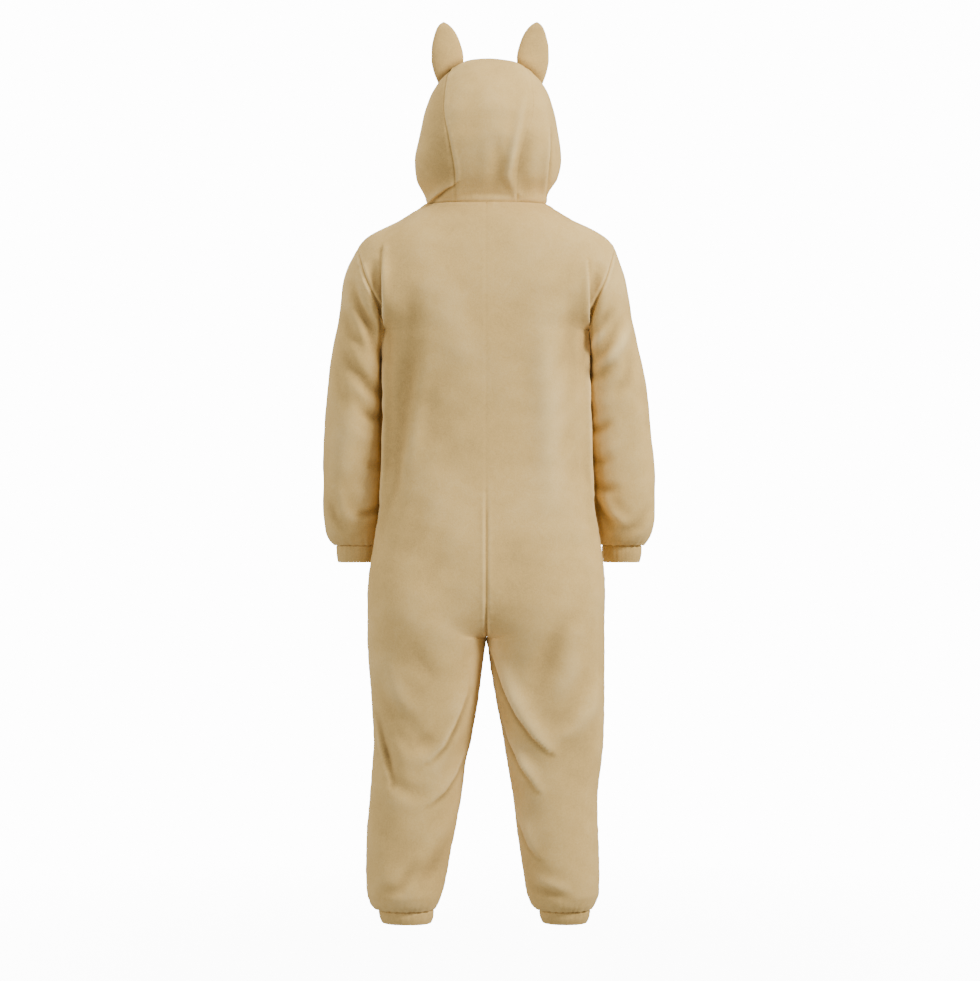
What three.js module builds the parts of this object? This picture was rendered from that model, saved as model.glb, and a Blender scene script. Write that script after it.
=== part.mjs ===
import * as THREE from 'three';

// A hooded one-piece suit of soft cloth, worn form, hollow and open at face, wrists and ankles.
// Lengths are millimetres. Up is +Z, the front faces -Y and the wearer's left is +X.
// The origin is in the neck, level with the seam between the hood and the back.

const clothWall = 2.5;
const bandWall = 2.8;
const earWall = 2;
const seamGap = 0.3;

const neckHalfWidth = 119;
const neckFrontDepth = 95;
const neckRoundness = 2.2;
const shoulderTipZ = -88;
const underarmZ = -257;
const crotchZ = -855;
const seatStartZ = -660;
const seatRoundness = 3;

const neckColumns = 6;
const shoulderColumns = 5;
const panelColumns = neckColumns + shoulderColumns;
const stripColumns = 2;
const yokeRows = 9;
const crownSeamColumns = 10;
const hoodRows = 9;
const blouseRows = 4;
const legRoundness = 2.15;
const sideRidge = { startTurn: 66, fullZ: -290, fadeZ: -540, endZ: -610, lift: 5 };

const zipEndZ = -700;
const zipHalfGap = 4;
const tapeWidth = 15;
const tapeWall = 1;
const tapeDepth = 3.4;
const chainHalfWidth = 3;
const chainWall = 2.4;
const chainDepth = 0.5;
const chainTopDrop = 16;
const slider = { halfWidth: 3.5, top: 2, end: 15.4, floor: 3.6, cheek: 6.9, cheekWall: 0.9 };
const pull = { halfWidth: 2.2, barrel: 1.3, pivot: 5, wall: 0.75, end: 38 };

// Turns short rows into records with named columns.
function table(names, rows) {
  const columns = names.split(' ');
  return rows.map((row) => Object.fromEntries(columns.map((name, i) => [name, row[i]])));
}

// The trunk at each height: half widths, and how far it reaches back and forward.
const trunk = table('z left right back front roundness', [
  [0, 119, 119, 75, 70, 2.2],
  [-30, 169, 168, 96, 84, 2.3],
  [-69, 240, 238, 108, 94, 2.5],
  [-88, 255, 254, 112, 98, 2.6],
  [-168, 266, 264, 121, 112, 3],
  [-257, 198, 197, 121, 118, 2.8],
  [-350, 199, 197, 113, 118, 2.5],
  [-430, 200, 202, 107, 117, 2.4],
  [-513, 203, 205, 107, 116, 2.4],
  [-585, 209, 211, 113, 114, 2.4],
  [-663, 221, 224, 123, 112, 2.4],
  [-782, 235, 236, 131, 107, 2.4],
  [-855, 235, 233, 128, 104, 2.4],
]);

// Each leg at each height: its outer and inner edges, and its reach back and forward.
const legs = table('z leftOuter leftInner rightOuter rightInner back front', [
  [-855, 235, 0, 233, 0, 118, 100],
  [-901, 233, 7, 233, 7, 110, 98],
  [-980, 227, 17, 233, 19, 101, 94],
  [-1059, 223, 31, 231, 35, 93, 90],
  [-1099, 225, 41, 227, 41, 89, 88],
  [-1178, 231, 52, 219, 54, 87, 86],
  [-1257, 237, 66, 221, 64, 85, 84],
  [-1320, 238, 78, 223, 73, 83, 82],
  [-1362, 236, 88, 222, 80, 78, 77],
  [-1384, 228, 97, 213, 90, 68, 67],
  [-1391, 219, 103, 207, 98, 60, 59],
  [-1389, 210, 107, 202, 107, 53, 53],
]);
const ankleBands = table('z leftOuter leftInner rightOuter rightInner depth', [
  [-1389, 210, 107, 202, 107, 53],
  [-1403, 210, 107, 202, 107, 53],
  [-1418, 207, 110, 199, 110, 50],
]);

// Rows of a body panel below the underarm. The last rows turn in to the ankle band.
const panelHeights = [
  -300, -350, -400, -450, -500, -550, -600, -650, -700, -716, -750, -785, -815, -838, -850, -855,
  -862, -880, -905, -945, -990, -1040, -1095, -1150, -1205, -1260, -1310, -1347,
];

// Each sleeve from the armhole down, with the edges that show and the middle of its depth.
const sleeves = table('leftOuter rightOuter outerZ leftInner rightInner innerZ centreY depth', [
  [255, 254, -88, 198, 197, -257, 4, 84],
  [268, 262, -112, 201, 200.5, -276, 1, 82],
  [282, 274, -149, 202, 201, -297, -3, 79],
  [291, 285, -194, 202.5, 201, -325, -9, 76],
  [299, 295, -245, 202.5, 201, -358, -16, 74],
  [308, 308, -307, 202, 202, -398, -24, 72],
  [315, 319, -365, 202, 203.5, -436, -31, 71],
  [321, 325, -420, 202.5, 204.5, -474, -37, 70],
  [325, 330, -472, 204, 205, -512, -43, 69],
  [327, 335, -523, 206, 207, -550, -49, 69],
  [327, 336, -571, 208.5, 210, -588, -54, 70],
  [326, 336, -613, 212, 214, -622, -60, 69],
  [321, 331, -647, 215, 220, -650, -66, 63],
  [311, 320, -668, 217, 227, -669, -70, 52],
  [303, 313, -674, 218, 230, -674, -71, 44],
  [298, 308, -671, 220, 233, -671, -72, 39],
]);
const wristBands = table('z leftOuter leftInner rightOuter rightInner centreY depth', [
  [-671, 298, 220, 308, 233, -72, 39],
  [-689, 298, 220, 308, 233, -73, 39],
  [-708, 296, 222, 306, 235, -74, 37],
]);

// The hood at each height. Its front reach runs on past the face edge, where the cloth is cut.
const hoodForm = table('z left right back front roundness', [
  [-90, 119, 119, 75, 150, 2.2],
  [0, 119, 119, 75, 150, 2.2],
  [15, 122, 121, 82, 155, 2.2],
  [50, 138, 141, 104, 171, 2.3],
  [89, 141, 147, 121, 182, 2.4],
  [129, 134, 143, 130, 188, 2.4],
  [168, 126, 136, 129, 188, 2.4],
  [208, 114, 126, 118, 176, 2.3],
  [242, 95, 107, 98, 150, 2.2],
  [265, 74, 88, 74, 118, 2.1],
]);
const crownStartZ = 265;
const crownTopZ = 287;
const crownPower = 0.36;
const hoodMiddle = { y: -12, z: 105 };
const faceEdge = { topY: -104, topZ: 262, cheekY: -122, cheekFullness: 0.8 };

// Half width of the hood's centre strip, from the face edge over the crown to the neck.
const stripWidth = table('along half', [
  [0, 62],
  [0.25, 74],
  [0.5, 84],
  [0.68, 72],
  [0.85, 62],
  [1, 61],
]);

// The outline of an ear seen from behind, from its base to its point.
const ear = table('innerX innerZ outerX outerZ swell', [
  [47, 281, 95, 246, 13],
  [46.5, 291, 103, 264, 13],
  [48, 301, 108, 288, 12],
  [53, 318, 107, 311, 9.5],
  [60, 336, 102, 334, 6.5],
  [69, 351, 96, 352, 4],
  [79, 362, 89, 363, 0],
]);
const earColumns = 6;
const earRightShift = 14.5;
const earY = -8;
const earSeat = 0.5;

// The largest folds. Each runs between two points seen from behind, or from the front,
// and lifts the cloth by depth, or sinks it where depth is negative.
const folds = table('face x0 z0 x1 z1 width depth', [
  ['back', 150, -220, 183, -543, 24, -10],
  ['back', 190, -300, 196, -470, 20, -6],
  ['back', -112, -240, -132, -570, 32, 9],
  ['back', -168, -200, -180, -350, 20, -9],
  ['back', 202, -135, 203, -235, 20, -9],
  ['back', -202, -150, -202, -240, 20, -9],
  ['back', 262, -168, 205, -300, 17, -10],
  ['back', 284, -222, 240, -281, 16, -6],
  ['back', -278, -251, -225, -330, 17, 7],
  ['back', 219, -1030, 188, -1122, 18, -12],
  ['back', 209, -960, 110, -1072, 20, -9],
  ['back', 44, -985, 104, -1130, 20, 9],
  ['back', 84, -1267, 118, -1335, 18, -7],
  ['back', -142, -843, -90, -945, 18, -8],
  ['back', -18, -900, -116, -1069, 18, 10],
  ['back', -40, -1041, -96, -1150, 18, 8],
  ['back', -64, -1204, -92, -1275, 18, 7],
  ['front', 120, -230, 160, -520, 28, -9],
  ['front', -116, -260, -150, -560, 28, -8],
  ['front', 110, -600, 60, -760, 24, 7],
  ['front', -118, -580, -62, -742, 24, 7],
  ['front', 30, -900, 120, -1060, 20, 9],
  ['front', -26, -905, -126, -1040, 20, 9],
  ['front', 60, -1060, 140, -1170, 20, -8],
  ['front', -54, -1075, -132, -1180, 20, -8],
  ['front', 262, -180, 216, -330, 18, -8],
  ['front', -262, -176, -214, -320, 18, -8],
]);

// A smooth slope between two that never overshoots.
function meanSlope(a, b) {
  return a * b <= 0 ? 0 : (2 * a * b) / (a + b);
}

// Reads one column of a table at a place between its rows, along a smooth curve.
function read(rows, key, column, place) {
  const last = rows.length - 1;
  const way = Math.sign(rows[last][key] - rows[0][key]);
  if ((place - rows[0][key]) * way <= 0) return rows[0][column];
  if ((rows[last][key] - place) * way <= 0) return rows[last][column];
  let i = 0;
  while ((place - rows[i + 1][key]) * way > 0) i += 1;
  const slope = (a) => (rows[a + 1][column] - rows[a][column]) / (rows[a + 1][key] - rows[a][key]);
  const span = rows[i + 1][key] - rows[i][key];
  const start = i > 0 ? meanSlope(slope(i - 1), slope(i)) : slope(i);
  const end = i + 1 < last ? meanSlope(slope(i), slope(i + 1)) : slope(i);
  const t = (place - rows[i][key]) / span;
  const near = rows[i][column] * (1 + 2 * t) + span * start * t;
  const far = rows[i + 1][column] * (3 - 2 * t) + span * end * (t - 1);
  return near * (1 - t) ** 2 + far * t ** 2;
}

function sideName(side) {
  return side > 0 ? 'left' : 'right';
}

// How far along a rounded section a direction reaches, for a reach of one.
function sectionReach(across, along, roundness) {
  return (Math.abs(across) ** roundness + Math.abs(along) ** roundness) ** (-1 / roundness);
}

// The size of the trunk's section on one side and face at a height.
function trunkSection(side, face, z) {
  return {
    width: read(trunk, 'z', sideName(side), z),
    depth: read(trunk, 'z', face > 0 ? 'back' : 'front', z),
    roundness: read(trunk, 'z', 'roundness', z),
  };
}

// How far the edge of the back stands out before the sleeve.
function ridgeLift(face, turn, z) {
  const round = (THREE.MathUtils.radToDeg(turn) - sideRidge.startTurn) / (90 - sideRidge.startTurn);
  if (face < 0 || round <= 0 || round >= 1) return 0;
  const rise = THREE.MathUtils.smoothstep(-z, -underarmZ, -sideRidge.fullZ);
  const fade = 1 - THREE.MathUtils.smoothstep(-z, -sideRidge.fadeZ, -sideRidge.endZ);
  return sideRidge.lift * rise * fade * Math.sin(Math.PI * round) ** 2;
}

// A point of the trunk. The turn is zero at the centre line and a quarter at the side.
function trunkPoint(side, face, turn, z) {
  const section = trunkSection(side, face, z);
  const across = Math.sin(turn);
  const along = Math.cos(turn);
  const reach = sectionReach(across, along, section.roundness);
  const x = side * (section.width * across * reach + ridgeLift(face, turn, z));
  return new THREE.Vector3(x, face * section.depth * along * reach, z);
}

// A point of a leg, from the inner edge round to the outer edge.
function legPoint(side, face, u, z) {
  const name = sideName(side);
  const outer = read(legs, 'z', `${name}Outer`, z);
  const inner = read(legs, 'z', `${name}Inner`, z);
  return bandPoint(side, face, u, z, outer, inner, read(legs, 'z', face > 0 ? 'back' : 'front', z));
}

function bandPoint(side, face, u, z, outer, inner, depth) {
  const turn = Math.PI * u;
  const reach = sectionReach(Math.cos(turn), Math.sin(turn), legRoundness);
  const x = (outer + inner) / 2 - ((outer - inner) / 2) * Math.cos(turn) * reach;
  return new THREE.Vector3(side * x, face * depth * Math.sin(turn) * reach, z);
}

// A point of a body panel below the underarm: trunk above, leg below, the seat between.
function panelPoint(side, face, u, z) {
  if (z <= crotchZ) return legPoint(side, face, u, z);
  const trunkPlace = trunkPoint(side, face, (u * Math.PI) / 2, z);
  const drop = Math.max(0, (seatStartZ - z) / (seatStartZ - crotchZ));
  const seatCurve = (1 - drop ** seatRoundness) ** (1 / seatRoundness);
  const outerPart = THREE.MathUtils.smoothstep(u, 0, 0.45);
  const easy = 1 - THREE.MathUtils.smoothstep(drop, 0, 1);
  const keep = seatCurve + (easy - seatCurve) * outerPart;
  const mixed = trunkPlace.multiplyScalar(keep);
  mixed.addScaledVector(legPoint(side, face, u, crotchZ), 1 - keep);
  mixed.z = z;
  return mixed;
}

// The armhole lies in a slanted plane through the shoulder tip and the underarm.
function armholePlace(side, face, v) {
  const z = shoulderTipZ + (underarmZ - shoulderTipZ) * v;
  const tip = trunkSection(side, face, shoulderTipZ).width;
  const low = trunkSection(side, face, underarmZ).width;
  const section = trunkSection(side, face, z);
  const q = Math.min(1, (tip + (low - tip) * v) / section.width);
  const rest = (1 - q ** section.roundness) ** (1 / section.roundness);
  return { turn: Math.atan2(q, rest), z };
}

// The height at which the trunk passes through a place seen from above.
function trunkHeight(side, face, x, y) {
  let high = 20;
  let low = -120;
  for (let i = 0; i < 40; i += 1) {
    const z = (high + low) / 2;
    const section = trunkSection(side, face, z);
    const n = section.roundness;
    const inside = (x / section.width) ** n + (Math.abs(y) / section.depth) ** n < 1;
    if (inside) low = z;
    else high = z;
  }
  return (high + low) / 2;
}

// The neckline: level at the back, scooped down to the zip at the front.
function neckPlace(side, face, k) {
  const turn = ((Math.PI / 2) * k) / neckColumns;
  if (face > 0) return { turn, z: 0 };
  const reach = sectionReach(Math.sin(turn), Math.cos(turn), neckRoundness);
  const x = neckHalfWidth * Math.sin(turn) * reach;
  const y = neckFrontDepth * Math.cos(turn) * reach;
  const z = k === neckColumns ? 0 : trunkHeight(side, face, x, y);
  const section = trunkSection(side, face, z);
  return { turn: Math.atan2(x / section.width, y / section.depth), z };
}

function topPlace(side, face, k) {
  if (k <= neckColumns) return neckPlace(side, face, k);
  return { turn: Math.PI / 2, z: (shoulderTipZ * (k - neckColumns)) / shoulderColumns };
}

// The part of a panel above the underarm, filled in between its four edges.
function yokePoint(side, face, k, row) {
  const u = k / panelColumns;
  const v = row / yokeRows;
  const top = topPlace(side, face, k);
  const first = topPlace(side, face, 0);
  const last = topPlace(side, face, panelColumns);
  const arm = armholePlace(side, face, v);
  const blend = (name, low) => {
    const chordTop = (1 - u) * first[name] + u * last[name];
    const chordArm = (1 - v) * last[name] + v * low[1];
    const straight = (1 - v) * chordTop + v * ((1 - u) * low[0] + u * low[1]);
    return straight + (1 - v) ** 2 * (top[name] - chordTop) + u * (arm[name] - chordArm);
  };
  const turn = blend('turn', [0, Math.PI / 2]);
  return trunkPoint(side, face, turn, blend('z', [underarmZ, underarmZ]));
}

// One body panel as rows of points, from the neck and shoulder to the ankle band.
function panelGrid(side, face) {
  const grid = [];
  const columns = [...Array(panelColumns + 1).keys()];
  for (let row = 0; row <= yokeRows; row += 1) {
    grid.push(columns.map((k) => yokePoint(side, face, k, row)));
  }
  for (const z of panelHeights) {
    grid.push(columns.map((k) => panelPoint(side, face, k / panelColumns, z)));
  }
  for (const row of legs.slice(-blouseRows)) {
    const depth = face > 0 ? row.back : row.front;
    const outer = row[`${sideName(side)}Outer`];
    const inner = row[`${sideName(side)}Inner`];
    grid.push(columns.map((k) => bandPoint(side, face, k / panelColumns, row.z, outer, inner, depth)));
  }
  if (face < 0) partFront(grid, side);
  return grid;
}

// Parts the front's centre edge along the zip.
function partFront(grid, side) {
  for (const row of grid) {
    if (row[0].z >= zipEndZ) row[0].x = side * zipHalfGap;
  }
}

// The armhole loop, from the shoulder tip down the back and up the front.
function armholeLoop(back, front) {
  const loop = [];
  for (let row = 0; row <= yokeRows; row += 1) loop.push(back[row][panelColumns]);
  for (let row = yokeRows - 1; row > 0; row -= 1) loop.push(front[row][panelColumns]);
  return loop.map((point) => point.clone());
}

// One sleeve as rings from the armhole to the wrist band.
function sleeveGrid(side, loop) {
  const name = sideName(side);
  const ringPoint = (row, turn) => {
    const outer = new THREE.Vector3(side * row[`${name}Outer`], row.centreY, row.outerZ);
    const inner = new THREE.Vector3(side * row[`${name}Inner`], row.centreY, row.innerZ);
    const middle = outer.clone().add(inner).multiplyScalar(0.5);
    const point = middle.clone().addScaledVector(outer.sub(middle), Math.cos(turn));
    point.y += row.depth * Math.sin(turn);
    return point;
  };
  const settleRings = 5;
  return sleeves.map((row, ring) => loop.map((start, i) => {
    const turn = (2 * Math.PI * i) / loop.length;
    const offset = start.clone().sub(ringPoint(sleeves[0], turn));
    const fade = Math.max(0, 1 - ring / settleRings) ** 2;
    return ringPoint(row, turn).addScaledVector(offset, fade);
  }));
}

// A wrist or ankle band, hanging from the last ring of its sleeve or leg.
function bandGrid(rows, side, ring, centreY) {
  const name = sideName(side);
  const top = rows[0];
  return rows.map((row) => ring.map((start) => {
    const middle = (row[`${name}Outer`] + row[`${name}Inner`]) / 2;
    const topMiddle = (top[`${name}Outer`] + top[`${name}Inner`]) / 2;
    const width = row[`${name}Outer`] - row[`${name}Inner`];
    const topWidth = top[`${name}Outer`] - top[`${name}Inner`];
    const x = side * middle + (start.x - side * topMiddle) * (width / topWidth);
    const y = centreY(row) + (start.y - centreY(top)) * (row.depth / top.depth);
    return new THREE.Vector3(x, y, row.z);
  }));
}

// Half width of the hood at a place in its side view, or zero outside it.
function hoodHalfWidth(side, y, z) {
  if (z >= crownTopZ) return 0;
  const crown = z <= crownStartZ ? 1 : ((crownTopZ - z) / (crownTopZ - crownStartZ)) ** crownPower;
  const width = read(hoodForm, 'z', sideName(side), z) * crown;
  const depth = read(hoodForm, 'z', y > 0 ? 'back' : 'front', z) * crown;
  const n = read(hoodForm, 'z', 'roundness', z);
  const part = Math.abs(y) / depth;
  return part >= 1 ? 0 : width * (1 - part ** n) ** (1 / n);
}

// The point of the hood in one direction from its middle, at a given half width.
function hoodPoint(side, angle, x) {
  let near = 20;
  let far = 260;
  const across = Math.sin(angle);
  const up = Math.cos(angle);
  const place = (r) => ({ y: hoodMiddle.y + r * across, z: hoodMiddle.z + r * up });
  for (let i = 0; i < 40; i += 1) {
    const r = (near + far) / 2;
    const at = place(r);
    if (hoodHalfWidth(side, at.y, at.z) > Math.abs(x)) near = r;
    else far = r;
  }
  const at = place((near + far) / 2);
  return new THREE.Vector3(side * Math.abs(x), at.y, at.z);
}

function sideAngle(y, z) {
  return Math.atan2(y - hoodMiddle.y, z - hoodMiddle.z);
}

// The seam between the centre strip and one side, from the face edge to the back neck.
function crownSeam(side, neckCorner) {
  const count = crownSeamColumns + hoodRows;
  const startAngle = sideAngle(faceEdge.topY, faceEdge.topZ);
  const endAngle = sideAngle(neckCorner.y, neckCorner.z);
  const points = [];
  for (let i = 0; i <= count; i += 1) {
    const along = i / count;
    const shift = side > 0 ? 0 : 9 * Math.sin(Math.PI * Math.min(1, along * 1.2)) ** 2;
    const half = read(stripWidth, 'along', 'half', along) + shift;
    points.push(hoodPoint(side, startAngle + (endAngle - startAngle) * along, half));
  }
  points[count] = neckCorner.clone();
  return points;
}

// The centre strip of the hood, between its two seams, down to the back neck.
function stripGrid(seams, neckRow) {
  const count = crownSeamColumns + hoodRows;
  const startAngle = sideAngle(faceEdge.topY, faceEdge.topZ);
  const endAngle = sideAngle(neckRow[0].y, neckRow[0].z);
  const fadeRows = 5;
  const rowAt = (i, bend) => {
    const angle = startAngle + (endAngle - startAngle) * (i / count);
    const row = [];
    for (let k = -stripColumns; k <= stripColumns; k += 1) {
      const seam = seams[k >= 0 ? 1 : -1][i];
      if (Math.abs(k) === stripColumns) row.push(seam.clone());
      else row.push(hoodPoint(k >= 0 ? 1 : -1, angle, (seam.x * Math.abs(k)) / stripColumns));
    }
    const fade = Math.max(0, 1 - (count - i) / fadeRows) ** 2;
    if (bend) row.forEach((point, j) => point.addScaledVector(bend[j], fade));
    return row;
  };
  const last = rowAt(count, null);
  const bend = last.map((point, j) => neckRow[j].clone().sub(point));
  return [...Array(count + 1).keys()].map((i) => rowAt(i, bend));
}

// One side of the hood, filled in between neckline, face edge and centre strip.
function hoodSideGrid(side, seam, neckLine) {
  const topAt = (k) => seam[k];
  const rearAt = (row) => seam[seam.length - 1 - row];
  const bottom = neckLine;
  const front = (v) => {
    const z = bottom[0].z + (seam[0].z - bottom[0].z) * v;
    const start = { y: bottom[0].y, z: bottom[0].z };
    const rise = (z - start.z) / (seam[0].z - start.z);
    const straight = start.y + (seam[0].y - start.y) * rise;
    return { y: straight + (faceEdge.cheekY - straight) * 4 * rise * (1 - rise) * faceEdge.cheekFullness, z };
  };
  const grid = [];
  for (let row = 0; row <= hoodRows; row += 1) {
    const v = row / hoodRows;
    const line = [];
    for (let k = 0; k <= crownSeamColumns; k += 1) {
      const u = k / crownSeamColumns;
      const mix = (name) => {
        const edges = (1 - v) * bottom[k][name] + v * topAt(k)[name]
          + (1 - u) * front(v)[name] + u * rearAt(row)[name];
        const low = (1 - u) * bottom[0][name] + u * bottom[crownSeamColumns][name];
        const high = (1 - u) * seam[0][name] + u * seam[crownSeamColumns][name];
        return edges - (1 - v) * low - v * high;
      };
      const y = mix('y');
      const z = mix('z');
      if (row === hoodRows) line.push(topAt(k).clone());
      else if (k === crownSeamColumns) line.push(rearAt(row).clone());
      else {
        const offset = Math.abs(bottom[k].x) - hoodHalfWidth(side, bottom[k].y, bottom[k].z);
        const x = hoodHalfWidth(side, y, z) + offset * (1 - v) ** 2;
        line.push(new THREE.Vector3(side * x, y, z));
      }
    }
    grid.push(line);
  }
  return grid;
}

// The height of the hood's crown over a place seen from above.
function crownHeight(side, x, y) {
  let low = 180;
  let high = crownTopZ;
  for (let i = 0; i < 40; i += 1) {
    const z = (low + high) / 2;
    if (hoodHalfWidth(side, y, z) > Math.abs(x)) low = z;
    else high = z;
  }
  return (low + high) / 2;
}

// One leaf of an ear, standing on the crown and swelling away from the other leaf.
function earGrid(side, face) {
  const shift = side > 0 ? 0 : earRightShift;
  const liftRows = 3;
  return ear.map((row, i) => {
    const line = [];
    for (let k = 0; k <= earColumns; k += 1) {
      const s = k / earColumns;
      const x = row.innerX + (row.outerX - row.innerX) * s + shift;
      const swell = row.swell * Math.sqrt(Math.max(0, 1 - (2 * s - 1) ** 2));
      const y = earY + face * swell;
      const base = ear[0].innerX + (ear[0].outerX - ear[0].innerX) * s + shift;
      const baseZ = ear[0].innerZ + (ear[0].outerZ - ear[0].innerZ) * s;
      const baseSwell = ear[0].swell * Math.sqrt(1 - (2 * s - 1) ** 2);
      const settle = crownHeight(side, base, earY + face * baseSwell);
      const lift = (settle + earSeat - baseZ) * Math.max(0, 1 - i / liftRows) ** 2;
      const z = row.innerZ + (row.outerZ - row.innerZ) * s + lift;
      line.push(new THREE.Vector3(side * x, y, z));
    }
    return line;
  });
}

// A cloth piece: a named grid of outer points, a wall and a colour. The core is inside it.
// The ground, where there is one, is the height on which its first row stands.
function piece(name, grid, wall, colour, core, closed = false, ground = null) {
  return { name, grid, wall, colour, core, closed, ground };
}

function columnsOf(item) {
  return item.grid[0].length;
}

// The four corners of one cell of a grid.
function cell(item, row, column) {
  const next = (column + 1) % columnsOf(item);
  const { grid } = item;
  return [grid[row][column], grid[row][next], grid[row + 1][next], grid[row + 1][column]];
}

function cellNormal([a, b, c, d]) {
  return c.clone().sub(a).cross(d.clone().sub(b));
}

function forEachCell(item, visit) {
  const width = item.closed ? columnsOf(item) : columnsOf(item) - 1;
  for (let row = 0; row < item.grid.length - 1; row += 1) {
    for (let column = 0; column < width; column += 1) visit(row, column);
  }
}

// Turns a grid over where its faces would point in.
function faceOut(item) {
  let sum = 0;
  forEachCell(item, (row, column) => {
    const corners = cell(item, row, column);
    const middle = corners.reduce((total, point) => total.add(point), new THREE.Vector3());
    middle.multiplyScalar(1 / 4);
    sum += cellNormal(corners).dot(middle.clone().sub(item.core(middle)));
  });
  if (sum < 0) item.grid.forEach((line) => line.reverse());
}

function placeKey(point) {
  return [point.x, point.y, point.z].map((value) => Math.round(value * 500)).join();
}

// The normal at every point of a skin, shared by the pieces that meet there.
function skinNormals(items) {
  const normals = new Map();
  for (const item of items) {
    forEachCell(item, (row, column) => {
      const corners = cell(item, row, column);
      const normal = cellNormal(corners);
      for (const corner of corners) {
        const key = placeKey(corner);
        if (!normals.has(key)) normals.set(key, new THREE.Vector3());
        normals.get(key).add(normal);
      }
    });
  }
  for (const normal of normals.values()) normal.normalize();
  return (point) => normals.get(placeKey(point));
}

// How far the folds lift the cloth at a point that faces one way.
function foldLift(point, normal) {
  let lift = 0;
  for (const fold of folds) {
    const facing = Math.max(0, normal.y * (fold.face === 'back' ? 1 : -1));
    const dx = fold.x1 - fold.x0;
    const dz = fold.z1 - fold.z0;
    const along = ((point.x - fold.x0) * dx + (point.z - fold.z0) * dz) / (dx * dx + dz * dz);
    const held = Math.min(1, Math.max(0, along));
    const away = Math.hypot(point.x - fold.x0 - dx * held, point.z - fold.z0 - dz * held);
    lift += fold.depth * Math.sqrt(facing) * Math.exp(-((away / fold.width) ** 2));
  }
  return lift;
}

// Moves the points of a skin by its folds, all pieces alike where they meet.
function foldSkin(items) {
  const normalAt = skinNormals(items);
  for (const item of items) {
    item.grid = item.grid.map((line) => line.map((point) => {
      const normal = normalAt(point);
      return point.clone().addScaledVector(normal, foldLift(point, normal));
    }));
  }
}

// The way from an edge into its piece, square to the edge.
function inward(from, to, inside) {
  const edge = to.clone().sub(from).normalize();
  const way = inside.clone().sub(from);
  return way.addScaledVector(edge, -way.dot(edge)).normalize();
}

// How far a border point steps back from its seam.
function seamStep(item, row, column) {
  const { grid, closed } = item;
  const lastRow = grid.length - 1;
  const lastColumn = columnsOf(item) - 1;
  const wrap = (k) => (k + columnsOf(item)) % columnsOf(item);
  const point = grid[row][column];
  const ways = [];
  if (row === 0 || row === lastRow) {
    const inside = grid[row === 0 ? 1 : lastRow - 1];
    for (const step of [-1, 1]) {
      const other = column + step;
      if (closed || (other >= 0 && other <= lastColumn)) {
        ways.push(inward(point, grid[row][wrap(other)], inside[column]));
      }
    }
  }
  if (!closed && (column === 0 || column === lastColumn)) {
    const inside = column === 0 ? 1 : lastColumn - 1;
    for (const step of [-1, 1]) {
      const other = row + step;
      if (other >= 0 && other <= lastRow) ways.push(inward(point, grid[other][column], grid[row][inside]));
    }
  }
  if (ways.length < 2) return new THREE.Vector3();
  const sum = ways[0].clone().add(ways[1]);
  return sum.multiplyScalar(seamGap / 2 / Math.max(0.4, 1 + ways[0].dot(ways[1])));
}

// The solid wall of a piece, its outer points and the same points moved in.
function wallGeometry(item, normalAt) {
  const width = columnsOf(item);
  const height = item.grid.length;
  const outer = [];
  const inner = [];
  item.grid.forEach((line, row) => line.forEach((point, column) => {
    const edge = point.clone().add(seamStep(item, row, column));
    const back = edge.clone().addScaledVector(normalAt(point), -item.wall);
    if (item.ground && row === 0) {
      back.copy(edge).addScaledVector(normalAt(point).clone().setZ(0).normalize(), -item.wall);
      edge.z = item.ground(edge);
      back.z = item.ground(back);
    }
    outer.push(edge);
    inner.push(back);
  }));
  const index = [];
  const quad = (a, b, c, d) => index.push(a, b, c, a, c, d);
  const shift = outer.length;
  forEachCell(item, (row, column) => {
    const next = (column + 1) % width;
    const upper = row * width;
    const lower = upper + width;
    quad(upper + column, upper + next, lower + next, lower + column);
    quad(lower + column + shift, lower + next + shift, upper + next + shift, upper + column + shift);
  });
  const points = [...outer, ...inner];
  const strip = (a, b) => {
    const down = points[a].distanceTo(points[b + shift]);
    const up = points[b].distanceTo(points[a + shift]);
    if (down < up) index.push(b, a, b + shift, a, a + shift, b + shift);
    else quad(b, a, a + shift, b + shift);
  };
  const across = item.closed ? width : width - 1;
  for (let column = 0; column < across; column += 1) {
    const next = (column + 1) % width;
    strip(column, next);
    strip((height - 1) * width + next, (height - 1) * width + column);
  }
  for (let row = 0; row < height - 1 && !item.closed; row += 1) {
    strip((row + 1) * width, row * width);
    strip(row * width + width - 1, (row + 1) * width + width - 1);
  }
  const geometry = new THREE.BufferGeometry();
  const numbers = points.flatMap((point) => point.toArray());
  geometry.setAttribute('position', new THREE.Float32BufferAttribute(numbers, 3));
  geometry.setIndex(index);
  geometry.computeVertexNormals();
  return geometry;
}

const clothColour = '#c9b48f';
const bandColour = '#cdb994';
const zipColour = '#b9a780';
const metalColour = '#9a9a96';

const group = new THREE.Group();

function addMesh(name, geometry, colour, roughness = 0.9, metalness = 0) {
  const material = new THREE.MeshStandardMaterial({ color: colour, roughness, metalness });
  const mesh = new THREE.Mesh(geometry, material);
  mesh.name = name;
  group.add(mesh);
}

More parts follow.
